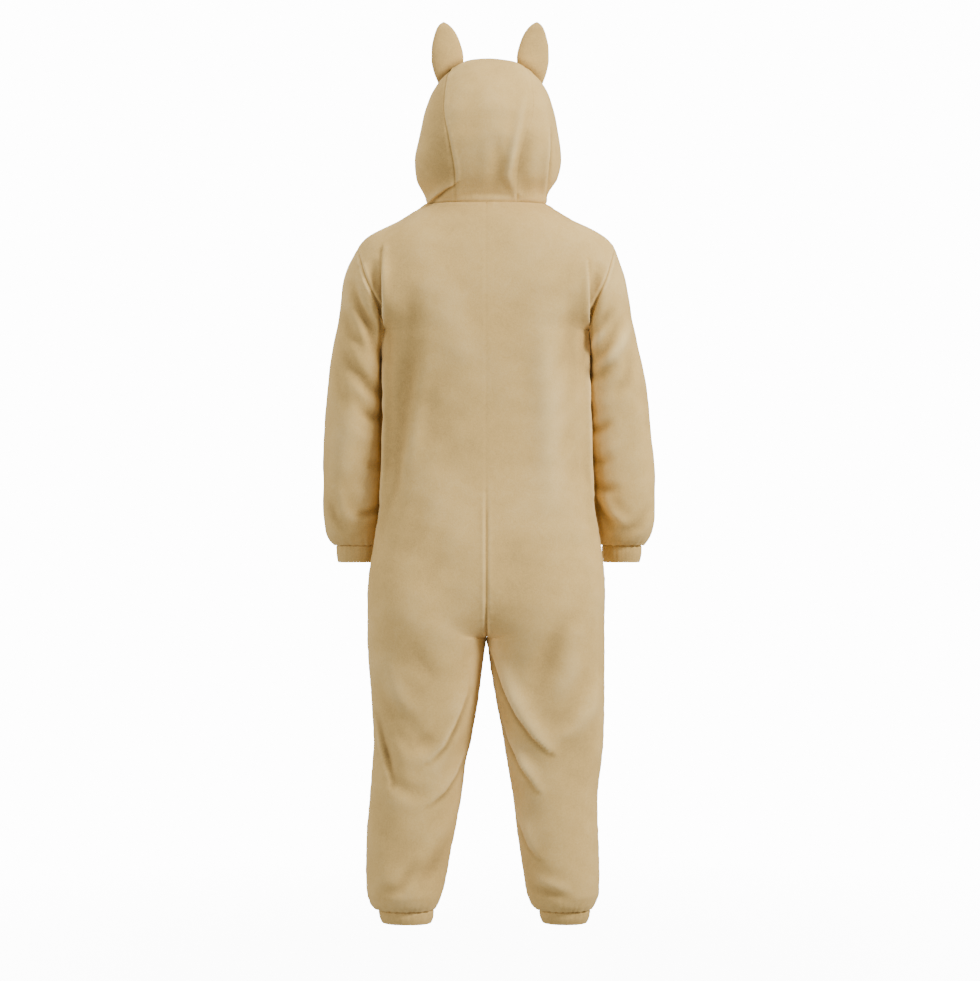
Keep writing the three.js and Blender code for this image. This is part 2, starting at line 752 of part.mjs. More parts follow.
// Every cloth piece of the suit and hood, one skin whose pieces meet at the seams.
function makeSkin() {
  const items = [];
  const seams = {};
  const panels = {};
  const hoodCore = () => new THREE.Vector3(0, -12, 100);
  for (const side of [1, -1]) {
    const name = sideName(side);
    const back = panelGrid(side, 1);
    const front = panelGrid(side, -1);
    panels[name] = { back, front };
    const trunkCore = (middle) => new THREE.Vector3(middle.z < crotchZ ? side * 150 : 0, 0, middle.z - 40);
    const ankleCore = (middle) => new THREE.Vector3(side * 155, 0, middle.z);
    const sleeveCore = (middle) => new THREE.Vector3(side * 265, -40, middle.z - 60);
    const wristCore = (middle) => new THREE.Vector3(side * 264, -72, middle.z);
    const ankleRing = [...back[back.length - 1], ...front[front.length - 1].slice(1, -1).reverse()];
    const sleeve = sleeveGrid(side, armholeLoop(back, front));
    const wristRing = sleeve[sleeve.length - 1];
    const ankleBand = bandGrid(ankleBands, side, ankleRing, () => 0);
    const wristBand = bandGrid(wristBands, side, wristRing, (row) => row.centreY);
    items.push(piece(`back_${name}`, back, clothWall, clothColour, trunkCore));
    items.push(piece(`front_${name}`, front, clothWall, clothColour, trunkCore));
    items.push(piece(`sleeve_${name}`, sleeve, clothWall, clothColour, sleeveCore, true));
    items.push(piece(`ankle_cuff_${name}`, ankleBand, bandWall, bandColour, ankleCore, true));
    items.push(piece(`wrist_cuff_${name}`, wristBand, bandWall, bandColour, wristCore, true));
    const neckLine = [
      ...front[0].slice(0, neckColumns),
      ...back[0].slice(stripColumns, neckColumns + 1).reverse(),
    ].map((point) => point.clone());
    seams[side] = crownSeam(side, neckLine[neckLine.length - 1]);
    const hoodSide = hoodSideGrid(side, seams[side], neckLine);
    items.push(piece(`hood_${name}`, hoodSide, clothWall, clothColour, hoodCore));
  }
  const neckRow = [
    ...panels.right.back[0].slice(1, stripColumns + 1).reverse(),
    ...panels.left.back[0].slice(0, stripColumns + 1),
  ].map((point) => point.clone());
  items.push(piece('hood_centre', stripGrid(seams, neckRow), clothWall, clothColour, hoodCore));
  return items;
}

// Both leaves of each ear, sewn together round the rim.
function makeEars() {
  const items = [];
  for (const side of [1, -1]) {
    const name = sideName(side);
    const middleX = side * (76 + (side > 0 ? 0 : earRightShift));
    const core = (middle) => new THREE.Vector3(middleX, earY, middle.z);
    const ground = (point) => crownHeight(side, point.x, point.y) + earSeat;
    items.push(piece(`ear_${name}_back`, earGrid(side, 1), earWall, clothColour, core, false, ground));
    items.push(piece(`ear_${name}_front`, earGrid(side, -1), earWall, clothColour, core, false, ground));
  }
  return items;
}

// The front's centre edge along the zip, as points in the middle plane with level normals.
function zipLine(front, normalAt) {
  const line = front.grid.map((row) => row.reduce((a, b) => (Math.abs(b.x) < Math.abs(a.x) ? b : a)));
  const lastRow = line.findIndex((point) => point.z < zipEndZ - 1);
  return line.slice(0, lastRow + 1).map((point) => ({
    place: point.clone().setX(0),
    normal: normalAt(point).clone().setX(0).normalize(),
  }));
}

function zipPlace(at, x, depth) {
  return at.place.clone().addScaledVector(at.normal, -depth).setX(x);
}

// The tapes lie behind the parted fronts, and the closed chain lies on them in the gap.
function makeZip(line) {
  const items = [];
  const inside = (middle) => new THREE.Vector3(middle.x, 0, middle.z);
  for (const side of [1, -1]) {
    const grid = line.map((at) => [0, tapeWidth].map((x) => zipPlace(at, side * x, tapeDepth)));
    items.push(piece(`zip_tape_${sideName(side)}`, grid, tapeWall, zipColour, inside));
  }
  const [first, second] = line;
  const share = chainTopDrop / first.place.distanceTo(second.place);
  const start = { place: first.place.clone().lerp(second.place, share), normal: second.normal };
  const chainLine = [start, ...line.slice(1, -1)];
  const columns = [-chainHalfWidth, chainHalfWidth];
  const chain = chainLine.map((at) => columns.map((x) => zipPlace(at, x, chainDepth)));
  items.push(piece('zip_chain', chain, chainWall, zipColour, inside));
  return items;
}

// Axes at the top of the zip: across, down along the chain, and out from it.
function zipAxes(line) {
  const down = line[1].place.clone().sub(line[0].place).normalize();
  const out = new THREE.Vector3(0, down.z, -down.y);
  const base = line[0].place.clone().addScaledVector(out, -chainDepth - chainWall);
  return { down, out, base };
}

// Places a profile drawn across and out from the chain, drawn out down along the chain.
function extrudeDown(profile, from, to, axes) {
  const shape = new THREE.Shape(profile.map(([x, y]) => new THREE.Vector2(x, y)));
  const geometry = new THREE.ExtrudeGeometry(shape, { depth: to - from, bevelEnabled: false });
  geometry.translate(0, 0, from);
  const across = new THREE.Vector3().crossVectors(axes.out, axes.down);
  geometry.applyMatrix4(new THREE.Matrix4().makeBasis(across, axes.out, axes.down).setPosition(axes.base));
  return geometry;
}

// The slider is a channel whose two cheeks hold the barrel of the pull tab.
function sliderGeometry(axes) {
  const { halfWidth, floor, cheek, cheekWall } = slider;
  const inner = halfWidth - cheekWall;
  const profile = [
    [-halfWidth, 0], [halfWidth, 0], [halfWidth, cheek], [inner, cheek],
    [inner, floor], [-inner, floor], [-inner, cheek], [-halfWidth, cheek],
  ];
  return extrudeDown(profile, slider.top, slider.end, axes);
}

// The pull tab seen from its side: a round barrel at the pivot and a flat tab below it.
function pullGeometry(axes) {
  const height = slider.floor + seamGap + pull.barrel;
  const shape = new THREE.Shape();
  const meet = Math.asin(pull.wall / pull.barrel);
  shape.absarc(0, 0, pull.barrel, meet, 2 * Math.PI - meet, false);
  shape.lineTo(pull.end - pull.pivot, -pull.wall);
  shape.lineTo(pull.end - pull.pivot, pull.wall);
  const options = { depth: 2 * pull.halfWidth, bevelEnabled: false, curveSegments: 14 };
  const geometry = new THREE.ExtrudeGeometry(shape, options);
  geometry.translate(0, 0, -pull.halfWidth);
  const across = new THREE.Vector3().crossVectors(axes.down, axes.out);
  const place = axes.base.clone().addScaledVector(axes.down, pull.pivot).addScaledVector(axes.out, height);
  geometry.applyMatrix4(new THREE.Matrix4().makeBasis(axes.down, axes.out, across).setPosition(place));
  return geometry;
}

const skin = makeSkin();
skin.forEach(faceOut);
foldSkin(skin);
const skinNormal = skinNormals(skin);
for (const item of skin) addMesh(item.name, wallGeometry(item, skinNormal), item.colour);

const ears = makeEars();
ears.forEach(faceOut);
const earNormal = skinNormals(ears);
for (const item of ears) addMesh(item.name, wallGeometry(item, earNormal), item.colour);

const line = zipLine(skin.find((item) => item.name === 'front_left'), skinNormal);
const zip = makeZip(line);
zip.forEach(faceOut);
const zipNormal = skinNormals(zip);
for (const item of zip) addMesh(item.name, wallGeometry(item, zipNormal), item.colour);
const axes = zipAxes(line);
addMesh('zip_slider', sliderGeometry(axes), metalColour, 0.4, 0.9);
addMesh('zip_pull', pullGeometry(axes), metalColour, 0.4, 0.9);

export default group;
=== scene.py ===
import math
import bpy
import bmesh
import numpy as np
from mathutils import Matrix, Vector


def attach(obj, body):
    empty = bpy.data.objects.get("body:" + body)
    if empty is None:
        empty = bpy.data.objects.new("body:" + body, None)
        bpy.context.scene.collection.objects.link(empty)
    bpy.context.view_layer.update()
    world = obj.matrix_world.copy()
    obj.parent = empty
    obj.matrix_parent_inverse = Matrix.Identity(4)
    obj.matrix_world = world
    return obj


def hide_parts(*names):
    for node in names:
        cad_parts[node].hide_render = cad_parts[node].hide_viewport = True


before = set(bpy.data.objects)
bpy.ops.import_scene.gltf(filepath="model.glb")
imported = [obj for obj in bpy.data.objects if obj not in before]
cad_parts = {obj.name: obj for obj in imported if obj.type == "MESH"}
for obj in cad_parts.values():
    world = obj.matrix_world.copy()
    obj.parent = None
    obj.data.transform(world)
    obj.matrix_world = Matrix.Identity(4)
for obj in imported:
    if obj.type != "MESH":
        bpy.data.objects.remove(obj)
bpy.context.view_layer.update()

# Forms are worked out in millimetres and turned into metres where a mesh is made.
# Up is +Z, the front faces -Y, the suit's own left is +X, and the origin is in the neck.
toMetres = 0.001

cloth = {
    "wall": 2.5,
    "bandWall": 2.8,
    "earWall": 2.0,
    "seamDip": 1.9,        # how deep a seam draws the plush in
    "seamWidth": 3.4,
    "seamRise": 0.7,       # how far it stands out beside that
    "lobeWidens": 3.2,     # how much wider the fold beside the hood's strip is than a seam
    "pucker": 0.4,
    "samePlace": 200,      # points that lie within about a 200th of a millimetre are one
    "hem": 15,             # how far in the hem's stitches run
    "hemRise": 0.9,
    "foldShade": 0.55,     # how much of the large folds' lift is painted into the colour as shade in their troughs and light on their ridges
}
grain = {"columns": 92, "yokeRows": 52, "bodyRows": 262, "hoodRows": 60, "sleeveRings": 132}

neck = {"halfWidth": 119, "frontDepth": 95, "roundness": 2.2}
body = {
    "shoulderTipZ": -88, "underarmZ": -257, "crotchZ": -855, "seatStartZ": -660,
    "seatRoundness": 3, "blouseStartZ": -1362, "legRoundness": 2.15,
    "neckPart": 6 / 11, "stripPart": 2 / 11,
}
trunkForm = {
    "z": [0, -30, -69, -88, -168, -257, -350, -430, -513, -585, -663, -782, -855],
    "left": [119, 169, 240, 255, 290, 198, 199, 200, 203, 209, 221, 235, 235],
    "right": [119, 168, 238, 254, 286, 197, 197, 202, 205, 211, 224, 236, 233],
    "back": [75, 96, 108, 112, 121, 121, 113, 107, 107, 113, 123, 131, 128],
    "front": [70, 84, 94, 98, 112, 118, 118, 117, 116, 114, 112, 107, 104],
    "roundness": [2.2, 2.3, 2.5, 2.6, 2.65, 2.8, 2.5, 2.4, 2.4, 2.4, 2.4, 2.4, 2.4],
    "ridgeStartTurn": 66, "ridgeStartZ": -205, "ridgeFullZ": -245, "ridgeFadeZ": -540, "ridgeEndZ": -610,
    "ridgeLift": 7,
}
legForm = {
    "z": [-855, -901, -980, -1059, -1099, -1178, -1257, -1320, -1362, -1384, -1391, -1389],
    "leftOuter": [235, 233, 227, 223, 225, 231, 237, 238, 236, 228, 219, 210],
    "leftInner": [0, 7, 17, 31, 41, 52, 66, 78, 88, 97, 103, 107],
    "rightOuter": [233, 233, 233, 231, 227, 219, 221, 223, 222, 213, 207, 202],
    "rightInner": [0, 7, 19, 35, 41, 54, 64, 73, 80, 90, 98, 107],
    "back": [118, 110, 101, 93, 89, 87, 85, 83, 78, 68, 60, 53],
    "front": [100, 98, 94, 90, 88, 86, 84, 82, 77, 67, 59, 53],
}


def sideName(side):
    return "left" if side > 0 else "right"


def readCurve(places, values, at):
    # a smooth curve through a table's rows that never overshoots them
    x = np.asarray(places, float)
    y = np.asarray(values, float)
    if x[0] > x[-1]:
        x, y = x[::-1], y[::-1]
    slopes = np.diff(y) / np.diff(x)
    ends = np.concatenate([slopes[:1], np.zeros(len(x) - 2), slopes[-1:]])
    product = slopes[:-1] * slopes[1:]
    total = slopes[:-1] + slopes[1:]
    ends[1:-1] = np.where(product > 0, 2 * product / np.where(total == 0, 1, total), 0)
    at = np.clip(np.asarray(at, float), x[0], x[-1])
    i = np.clip(np.searchsorted(x, at, side="right") - 1, 0, len(x) - 2)
    span = x[i + 1] - x[i]
    t = (at - x[i]) / span
    near = y[i] * (1 + 2 * t) + span * ends[i] * t
    far = y[i + 1] * (3 - 2 * t) + span * ends[i + 1] * (t - 1)
    return near * (1 - t) ** 2 + far * t ** 2


def readRows(form, column, at):
    return readCurve(range(len(form[column])), form[column], at)


def ease(value, low, high):
    t = np.clip((np.asarray(value, float) - low) / (high - low), 0, 1)
    return t * t * (3 - 2 * t)


def hump(away, width):
    return np.exp(-(away / width) ** 2)


def unit(vectors):
    return vectors / np.maximum(np.linalg.norm(vectors, axis=-1, keepdims=True), 1e-9)


def halve(shape, low, high, holds):
    # the place where a test that holds at the low end stops holding
    low, high = np.full(shape, float(low)), np.full(shape, float(high))
    for turn in range(40):
        middle = (low + high) / 2
        held = holds(middle)
        low, high = np.where(held, middle, low), np.where(held, high, middle)
    return (low + high) / 2


def sectionReach(across, along, roundness):
    return (np.abs(across) ** roundness + np.abs(along) ** roundness) ** (-1 / roundness)


def trunkSection(side, face, z):
    width = readCurve(trunkForm["z"], trunkForm[sideName(side)], z)
    depth = readCurve(trunkForm["z"], trunkForm["back" if face > 0 else "front"], z)
    return width, depth, readCurve(trunkForm["z"], trunkForm["roundness"], z)


def ridgeLift(face, turn, z):
    # the edge of the back stands out a little before the sleeve
    start = trunkForm["ridgeStartTurn"]
    part = np.clip((np.degrees(turn) - start) / (90 - start), 0, 1)
    rise = ease(-z, -trunkForm["ridgeStartZ"], -trunkForm["ridgeFullZ"])
    fade = 1 - ease(-z, -trunkForm["ridgeFadeZ"], -trunkForm["ridgeEndZ"])
    return max(face, 0) * trunkForm["ridgeLift"] * rise * fade * np.sin(math.pi * part) ** 2


def trunkPoint(side, face, turn, z):
    width, depth, roundness = trunkSection(side, face, z)
    across, along = np.sin(turn), np.maximum(np.cos(turn), 0)
    reach = sectionReach(across, along, roundness)
    x = side * (width * across * reach + ridgeLift(face, turn, z))
    return np.stack([x, face * depth * along * reach, z + 0 * turn], -1)


def bandPoint(side, face, u, z, outer, inner, depth):
    turn = math.pi * u
    reach = sectionReach(np.cos(turn), np.sin(turn), body["legRoundness"])
    x = (outer + inner) / 2 - (outer - inner) / 2 * np.cos(turn) * reach
    sine = np.where((u == 0) | (u == 1), 0, np.sin(turn))
    return np.stack([side * x, face * depth * sine * reach, z + 0 * x], -1)


def legPoint(side, face, u, z):
    name = sideName(side)
    outer = readCurve(legForm["z"][:-1], legForm[name + "Outer"][:-1], z)
    inner = readCurve(legForm["z"][:-1], legForm[name + "Inner"][:-1], z)
    reach = legForm["back" if face > 0 else "front"]
    depth = readCurve(legForm["z"][:-1], reach[:-1], z)
    # above the crotch the leg's depth runs on at its own slope
    slope = (reach[0] - reach[1]) / (legForm["z"][0] - legForm["z"][1])
    depth = depth + slope * np.maximum(0, z - body["crotchZ"])
    return bandPoint(side, face, u, z, outer, inner, depth)


def panelPoint(side, face, u, z):
    # trunk above, leg below, and the seat curving under between them
    drop = np.clip((body["seatStartZ"] - z) / (body["seatStartZ"] - body["crotchZ"]), 0, 1)
    seatCurve = (1 - drop ** body["seatRoundness"]) ** (1 / body["seatRoundness"])
    keep = seatCurve + (1 - ease(drop, 0, 1) - seatCurve) * ease(u, 0, 0.34)
    upper = trunkPoint(side, face, u * math.pi / 2, z)
    lower = legPoint(side, face, u, z)
    mixed = upper * keep[..., None] + lower * (1 - keep[..., None])
    mixed[..., 2] = z
    return mixed


armholeCurve = {"down": [0, 0.37, 0.58, 0.83, 1], "inwards": [0, 0.325, 0.58, 0.9, 1]}


def armholePlace(side, face, v):
    z = body["shoulderTipZ"] + (body["underarmZ"] - body["shoulderTipZ"]) * v
    tip = trunkSection(side, face, body["shoulderTipZ"])[0]
    low = trunkSection(side, face, body["underarmZ"])[0]
    width, roundness = trunkSection(side, face, z)[::2]
    x = tip + (low - tip) * readCurve(armholeCurve["down"], armholeCurve["inwards"], v)
    q = np.minimum(1, x / width)
    return np.arctan2(q, (1 - q ** roundness) ** (1 / roundness)), z


def neckPlace(side, face, part):
    turn = math.pi / 2 * part
    if face > 0:
        return turn, 0 * turn
    reach = sectionReach(np.sin(turn), np.cos(turn), neck["roundness"])
    x = neck["halfWidth"] * np.sin(turn) * reach
    y = neck["frontDepth"] * np.maximum(np.cos(turn), 0) * reach

    def inside(z):
        width, depth, n = trunkSection(side, face, z)
        return (x / width) ** n + (y / depth) ** n < 1

    z = np.where(part >= 1, 0, halve(x.shape, -120, 20, inside))
    width, depth, n = trunkSection(side, face, z)
    return np.arctan2(x / width, y / depth), z


def topPlace(side, face, u):
    part = np.minimum(1, u / body["neckPart"])
    turn, z = neckPlace(side, face, part)
    shoulder = np.maximum(0, (u - body["neckPart"]) / (1 - body["neckPart"]))
    past = u > body["neckPart"]
    return np.where(past, math.pi / 2, turn), np.where(past, body["shoulderTipZ"] * shoulder, z)


def yokeGrid(side, face, columns, rows):
    u, v = np.meshgrid(columns, rows)
    top = topPlace(side, face, columns)
    arm = armholePlace(side, face, rows)
    lows = [(0, math.pi / 2), (body["underarmZ"], body["underarmZ"])]
    filled = []
    for name in (0, 1):
        first, last = top[name][0], top[name][-1]
        chordTop = (1 - u) * first + u * last
        chordArm = (1 - v) * last + v * lows[name][1]
        straight = (1 - v) * chordTop + v * ((1 - u) * lows[name][0] + u * lows[name][1])
        bend = (1 - v) ** 2 * (top[name][None, :] - chordTop)
        filled.append(straight + bend + u * (arm[name][:, None] - chordArm))
    grid = trunkPoint(side, face, filled[0], filled[1])
    grid[0, columns >= body["neckPart"], 1] = 0
    grid[0, -1, 1] = 0
    grid[-1, -1, 1] = 0
    return grid


def spread(start, end, count, denseStart=0.0, denseEnd=0.0):
    # steps from start to end, closer together at an end that is a seam
    t = np.linspace(0, 1, count + 1)
    weight = 1 - denseStart * hump(t, 0.12) - denseEnd * hump(1 - t, 0.12)
    gaps = (weight[1:] + weight[:-1]) / 2
    along = np.concatenate([[0], np.cumsum(gaps)])
    return start + (end - start) * along / along[-1]


count = grain["columns"]
columnSteps = np.concatenate([
    spread(0, body["stripPart"], round(count * 0.3), 0.75, 0.6)[:-1],
    spread(body["stripPart"], body["neckPart"], round(count * 0.3), 0.6, 0.5)[:-1],
    spread(body["neckPart"], 1, round(count * 0.4), 0.2, 0.6),
])
stripCount = round(count * 0.3)
neckCount = stripCount + round(count * 0.3)
columnSteps[stripCount] = body["stripPart"]
columnSteps[neckCount] = body["neckPart"]
yokeSteps = spread(0, 1, grain["yokeRows"], 0.75, 0.3)


def bodyHeights():
    # the rows below the underarm, with some of their own at the zip's end
    rows, end, seat = grain["bodyRows"], zipForm["endZ"], -800
    ending = [end, end - 6, end - 11, end - 16]
    return np.concatenate([
        spread(body["underarmZ"], end, round(rows * 0.38), 0.3, 0.3)[1:-1],
        ending,
        spread(ending[-1], seat, round(rows * 0.07))[1:-1],
        spread(seat, body["crotchZ"], round(rows * 0.1), 0, 0.8)[:-1],
        spread(body["crotchZ"], body["blouseStartZ"], round(rows * 0.39), 0.7, 0)[:-1],
    ])


def fillHollow(x, y):
    # a row stretched over its hollows, as cloth is
    kept = [0]
    for i in range(1, len(x)):
        while len(kept) > 1:
            a, b = kept[-2], kept[-1]
            if (x[b] - x[a]) * (y[i] - y[a]) < (y[b] - y[a]) * (x[i] - x[a]):
                break
            kept.pop()
        kept.append(i)
    return np.interp(x, x[kept], y[kept])


# the zip, whose opening the fronts leave
zipForm = {
    "endZ": -700, "halfGap": 4, "gapFade": 16, "gapReach": 40, "runOn": 22, "slopeRows": 9,
    "tapeWidth": 15, "tapeDepth": 3.4, "tapeWall": 1.0, "tapeFrom": 0.15, "tapeWave": 0.25, "waveLength": 9,
    "chainDepth": 0.5, "chainWall": 2.4, "chainTopDrop": 16, "stitchFrom": 7, "toothPitch": 2.7,
    # a tooth's outline along the chain and across it, and its levels as size and height
    "toothOutline": [(-0.85, 2.9), (0.85, 2.9), (0.62, 1.2), (0.98, 0.2),
                     (0.7, -0.75), (-0.7, -0.75), (-0.98, 0.2), (-0.62, 1.2)],
    "toothLevels": [(0.82, -1.2), (1, -0.85), (1, 0.85), (0.82, 1.2)], "toothMiddle": 0.9,
}


def panelGrid(side, face):
    grid = [yokeGrid(side, face, columnSteps, yokeSteps)]
    u, z = np.meshgrid(columnSteps, bodyHeights())
    lower = panelPoint(side, face, u, z)
    lower[..., 1] = np.where(u == 1, 0, lower[..., 1])
    for row in lower:
        if body["crotchZ"] < row[0, 2] < body["seatStartZ"]:
            near = columnSteps < 0.5
            row[near, 1] = face * fillHollow(np.abs(row[near, 0]), face * row[near, 1])
    grid.append(lower)
    name = sideName(side)
    blouse = {key: values[-4:] for key, values in legForm.items()}
    steps = spread(0, 3, max(12, round(grain["bodyRows"] * 0.07)), 0, 0.5)
    u, at = np.meshgrid(columnSteps, steps)
    parts = [readRows(blouse, key, at) for key in ("z", name + "Outer", name + "Inner")]
    depth = readRows(blouse, "back" if face > 0 else "front", at)
    grid.append(bandPoint(side, face, u, *parts, depth))
    grid = np.concatenate(grid)
    grid[np.abs(grid) < 1e-7] = 0
    if face < 0:
        z = grid[:, 0, 2]
        part = zipForm["halfGap"] * ease(z, zipForm["endZ"] - zipForm["gapFade"], zipForm["endZ"])
        x = np.abs(grid[..., 0])
        grid[..., 0] = side * (x + part[:, None] * np.clip(1 - x / zipForm["gapReach"], 0, 1))
    return grid


sleeveForm = {
    "leftOuter": [255, 268, 282, 291, 299, 308, 315, 321, 325, 327, 327, 326, 321, 311, 303, 298],
    "rightOuter": [254, 262, 274, 285, 295, 308, 319, 325, 330, 335, 336, 336, 331, 320, 313, 308],
    "outerZ": [-88, -112, -149, -194, -245, -307, -365, -420,
               -472, -523, -571, -613, -647, -668, -674, -671],
    "leftInner": [198, 201, 202, 202.5, 202.5, 202, 202, 202.5, 204, 206, 208.5, 212, 215, 217, 218, 220],
    "rightInner": [197, 200.5, 201, 201, 201, 202, 203.5, 204.5, 205, 207, 210, 214, 220, 227, 230, 233],
    "innerZ": [-257, -276, -297, -325, -358, -398, -436, -474,
               -512, -550, -588, -622, -650, -669, -674, -671],
    "centreY": [4, 1, -3, -9, -16, -24, -31, -37, -43, -49, -54, -60, -66, -70, -71, -72],
    "depth": [84, 82, 79, 76, 74, 72, 71, 70, 69, 69, 70, 69, 63, 52, 44, 39],
    "settleRings": 5,
}
ankleForm = {
    "z": [-1389, -1403, -1418],
    "leftOuter": [210, 210, 207], "leftInner": [107, 107, 110],
    "rightOuter": [202, 202, 199], "rightInner": [107, 107, 110],
    "depth": [53, 53, 50], "centreY": [0, 0, 0],
}
wristForm = {
    "z": [-671, -689, -708],
    "leftOuter": [298, 298, 296], "leftInner": [220, 220, 222],
    "rightOuter": [308, 308, 306], "rightInner": [233, 233, 235],
    "depth": [39, 39, 37], "centreY": [-72, -73, -74],
}


def sleeveGrid(side, back, front):
    name = sideName(side)
    rows = len(yokeSteps)
    loop = np.concatenate([back[:rows, -1], front[rows - 2:0:-1, -1]])
    turns = np.concatenate([math.pi * yokeSteps, 2 * math.pi - math.pi * yokeSteps[-2:0:-1]])
    last = len(sleeveForm["depth"]) - 1

    def ringPoint(at):
        outer, inner = (
            np.stack([side * readRows(sleeveForm, x, at), readRows(sleeveForm, z, at)], -1)
            for x, z in ((name + "Outer", "outerZ"), (name + "Inner", "innerZ")))
        middle = (outer + inner) / 2
        flat = middle[..., None, :] + (outer - middle)[..., None, :] * np.cos(turns)[:, None]
        centreY, depth = (readRows(sleeveForm, key, at)[..., None] for key in ("centreY", "depth"))
        return np.stack([flat[..., 0], centreY + depth * np.sin(turns), flat[..., 1]], -1)

    at = np.concatenate([
        spread(0, 5, round(grain["sleeveRings"] * 0.3), 0.6, 0)[:-1],
        spread(5, 11, round(grain["sleeveRings"] * 0.42))[:-1],
        spread(11, last, round(grain["sleeveRings"] * 0.28), 0, 0.5),
    ])
    offset = loop[None] - ringPoint(np.array([0.0]))
    fade = np.maximum(0, 1 - at / sleeveForm["settleRings"]) ** 2
    return ringPoint(at) + offset * fade[:, None, None]


def bandGrid(form, side, ring):
    name = sideName(side)
    rows = spread(0, 2, 16, 0.5, 0.5)
    outer, inner = readRows(form, name + "Outer", rows), readRows(form, name + "Inner", rows)
    z, depth, centreY = (readRows(form, key, rows) for key in ("z", "depth", "centreY"))
    middle = (outer + inner) / 2
    narrows = ((outer - inner) / (outer[0] - inner[0]))[:, None]
    x = side * middle[:, None] + (ring[None, :, 0] - side * middle[0]) * narrows
    y = centreY[:, None] + (ring[None, :, 1] - centreY[0]) * (depth / depth[0])[:, None]
    return np.stack([x, y, z[:, None] + 0 * x], -1)


hoodForm = {
    "z": [-90, 0, 15, 50, 89, 129, 168, 208, 242, 265],
    "left": [119, 119, 122, 138, 141, 134, 126, 114, 95, 74],
    "right": [119, 119, 121, 141, 147, 143, 136, 126, 107, 88],
    "back": [75, 75, 82, 104, 121, 130, 129, 118, 98, 74],
    "front": [150, 150, 155, 171, 182, 188, 188, 176, 150, 118],
    "roundness": [2.2, 2.2, 2.2, 2.3, 2.4, 2.4, 2.4, 2.3, 2.2, 2.1],
}
hoodCut = {
    "crownStartZ": 265, "crownTopZ": 287, "crownPower": 0.36, "middleY": -12, "middleZ": 105,
    "faceTopY": -104, "faceTopZ": 262, "cheekY": -122, "cheekFullness": 0.8,
    "topShare": 10 / 19, "fadeShare": 5 / 19, "rightShift": 9,
    "stripAlong": [0, 0.25, 0.5, 0.68, 0.85, 1], "stripHalf": [62, 74, 84, 72, 62, 61],
}


def hoodHalfWidth(side, y, z):
    y, z = np.broadcast_arrays(np.asarray(y, float), np.asarray(z, float))
    top, start = hoodCut["crownTopZ"], hoodCut["crownStartZ"]
    crown = np.where(z <= start, 1, np.clip((top - z) / (top - start), 0, 1) ** hoodCut["crownPower"])
    width = readCurve(hoodForm["z"], hoodForm[sideName(side)], z) * crown
    back = readCurve(hoodForm["z"], hoodForm["back"], z)
    depth = np.where(y > 0, back, readCurve(hoodForm["z"], hoodForm["front"], z)) * crown
    n = readCurve(hoodForm["z"], hoodForm["roundness"], z)
    part = np.minimum(1, np.abs(y) / np.maximum(depth, 1e-6))
    return width * (1 - part ** n) ** (1 / n)


def hoodPoint(side, angle, x):
    angle, x = np.broadcast_arrays(np.asarray(angle, float), np.asarray(x, float))

    def place(r):
        return hoodCut["middleY"] + r * np.sin(angle), hoodCut["middleZ"] + r * np.cos(angle)

    r = halve(angle.shape, 20, 260, lambda r: hoodHalfWidth(side, *place(r)) > np.abs(x))
    return np.stack([side * np.abs(x), *place(r)], -1)


def sideAngle(y, z):
    return math.atan2(y - hoodCut["middleY"], z - hoodCut["middleZ"])


def crownSeam(side, along, corner):
    start = sideAngle(hoodCut["faceTopY"], hoodCut["faceTopZ"])
    end = sideAngle(corner[1], corner[2])
    shift = 0 if side > 0 else hoodCut["rightShift"] * np.sin(math.pi * np.minimum(1, along * 1.2)) ** 2
    half = readCurve(hoodCut["stripAlong"], hoodCut["stripHalf"], along) + shift
    seam = hoodPoint(side, start + (end - start) * along, half)
    seam[along >= 1] = corner
    return seam


def hoodAlong():
    share = hoodCut["topShare"]
    topCount = len(hoodColumns) - 1
    top = hoodColumns * share
    rear = 1 - spread(0, 1, grain["hoodRows"], 0.6, 0.2)[::-1] * (1 - share)
    return np.concatenate([top, rear[1:]]), topCount


# The hood side has a column for each column of the neckline, front to back.
frontShare = 0.6
frontPart = columnSteps[:neckCount + 1] / body["neckPart"] * frontShare
backPart = frontShare + (body["neckPart"] - columnSteps[stripCount:neckCount][::-1]) * 11 / 10
hoodColumns = np.concatenate([frontPart, backPart])
hoodSteps = spread(0, 1, grain["hoodRows"], 0.6, 0.2)


def hoodSideGrid(side, seam, topCount, neckLine):
    top = seam[:topCount + 1]
    rear = seam[topCount:][::-1]
    u, v = np.meshgrid(hoodColumns, hoodSteps)
    z = neckLine[0, 2] + (seam[0, 2] - neckLine[0, 2]) * hoodSteps
    straight = neckLine[0, 1] + (seam[0, 1] - neckLine[0, 1]) * hoodSteps
    # the face's edge is bowed out at the cheeks
    bow = (hoodCut["cheekY"] - straight) * 4 * hoodSteps * (1 - hoodSteps) * hoodCut["cheekFullness"]
    faceLine = np.stack([z * 0, straight + bow, z], -1)
    mixed = []
    for axis in (1, 2):
        edges = (1 - v) * neckLine[None, :, axis] + v * top[None, :, axis]
        edges = edges + (1 - u) * faceLine[:, None, axis] + u * rear[:, None, axis]
        low = (1 - u) * neckLine[0, axis] + u * neckLine[-1, axis]
        high = (1 - u) * seam[0, axis] + u * seam[topCount, axis]
        mixed.append(edges - (1 - v) * low - v * high)
    offset = np.abs(neckLine[:, 0]) - hoodHalfWidth(side, neckLine[:, 1], neckLine[:, 2])
    x = hoodHalfWidth(side, mixed[0], mixed[1]) + offset[None] * (1 - v) ** 2
    grid = np.stack([side * x, mixed[0], mixed[1]], -1)
    grid[0] = neckLine
    grid[-1] = top
    grid[:, -1] = rear
    return grid


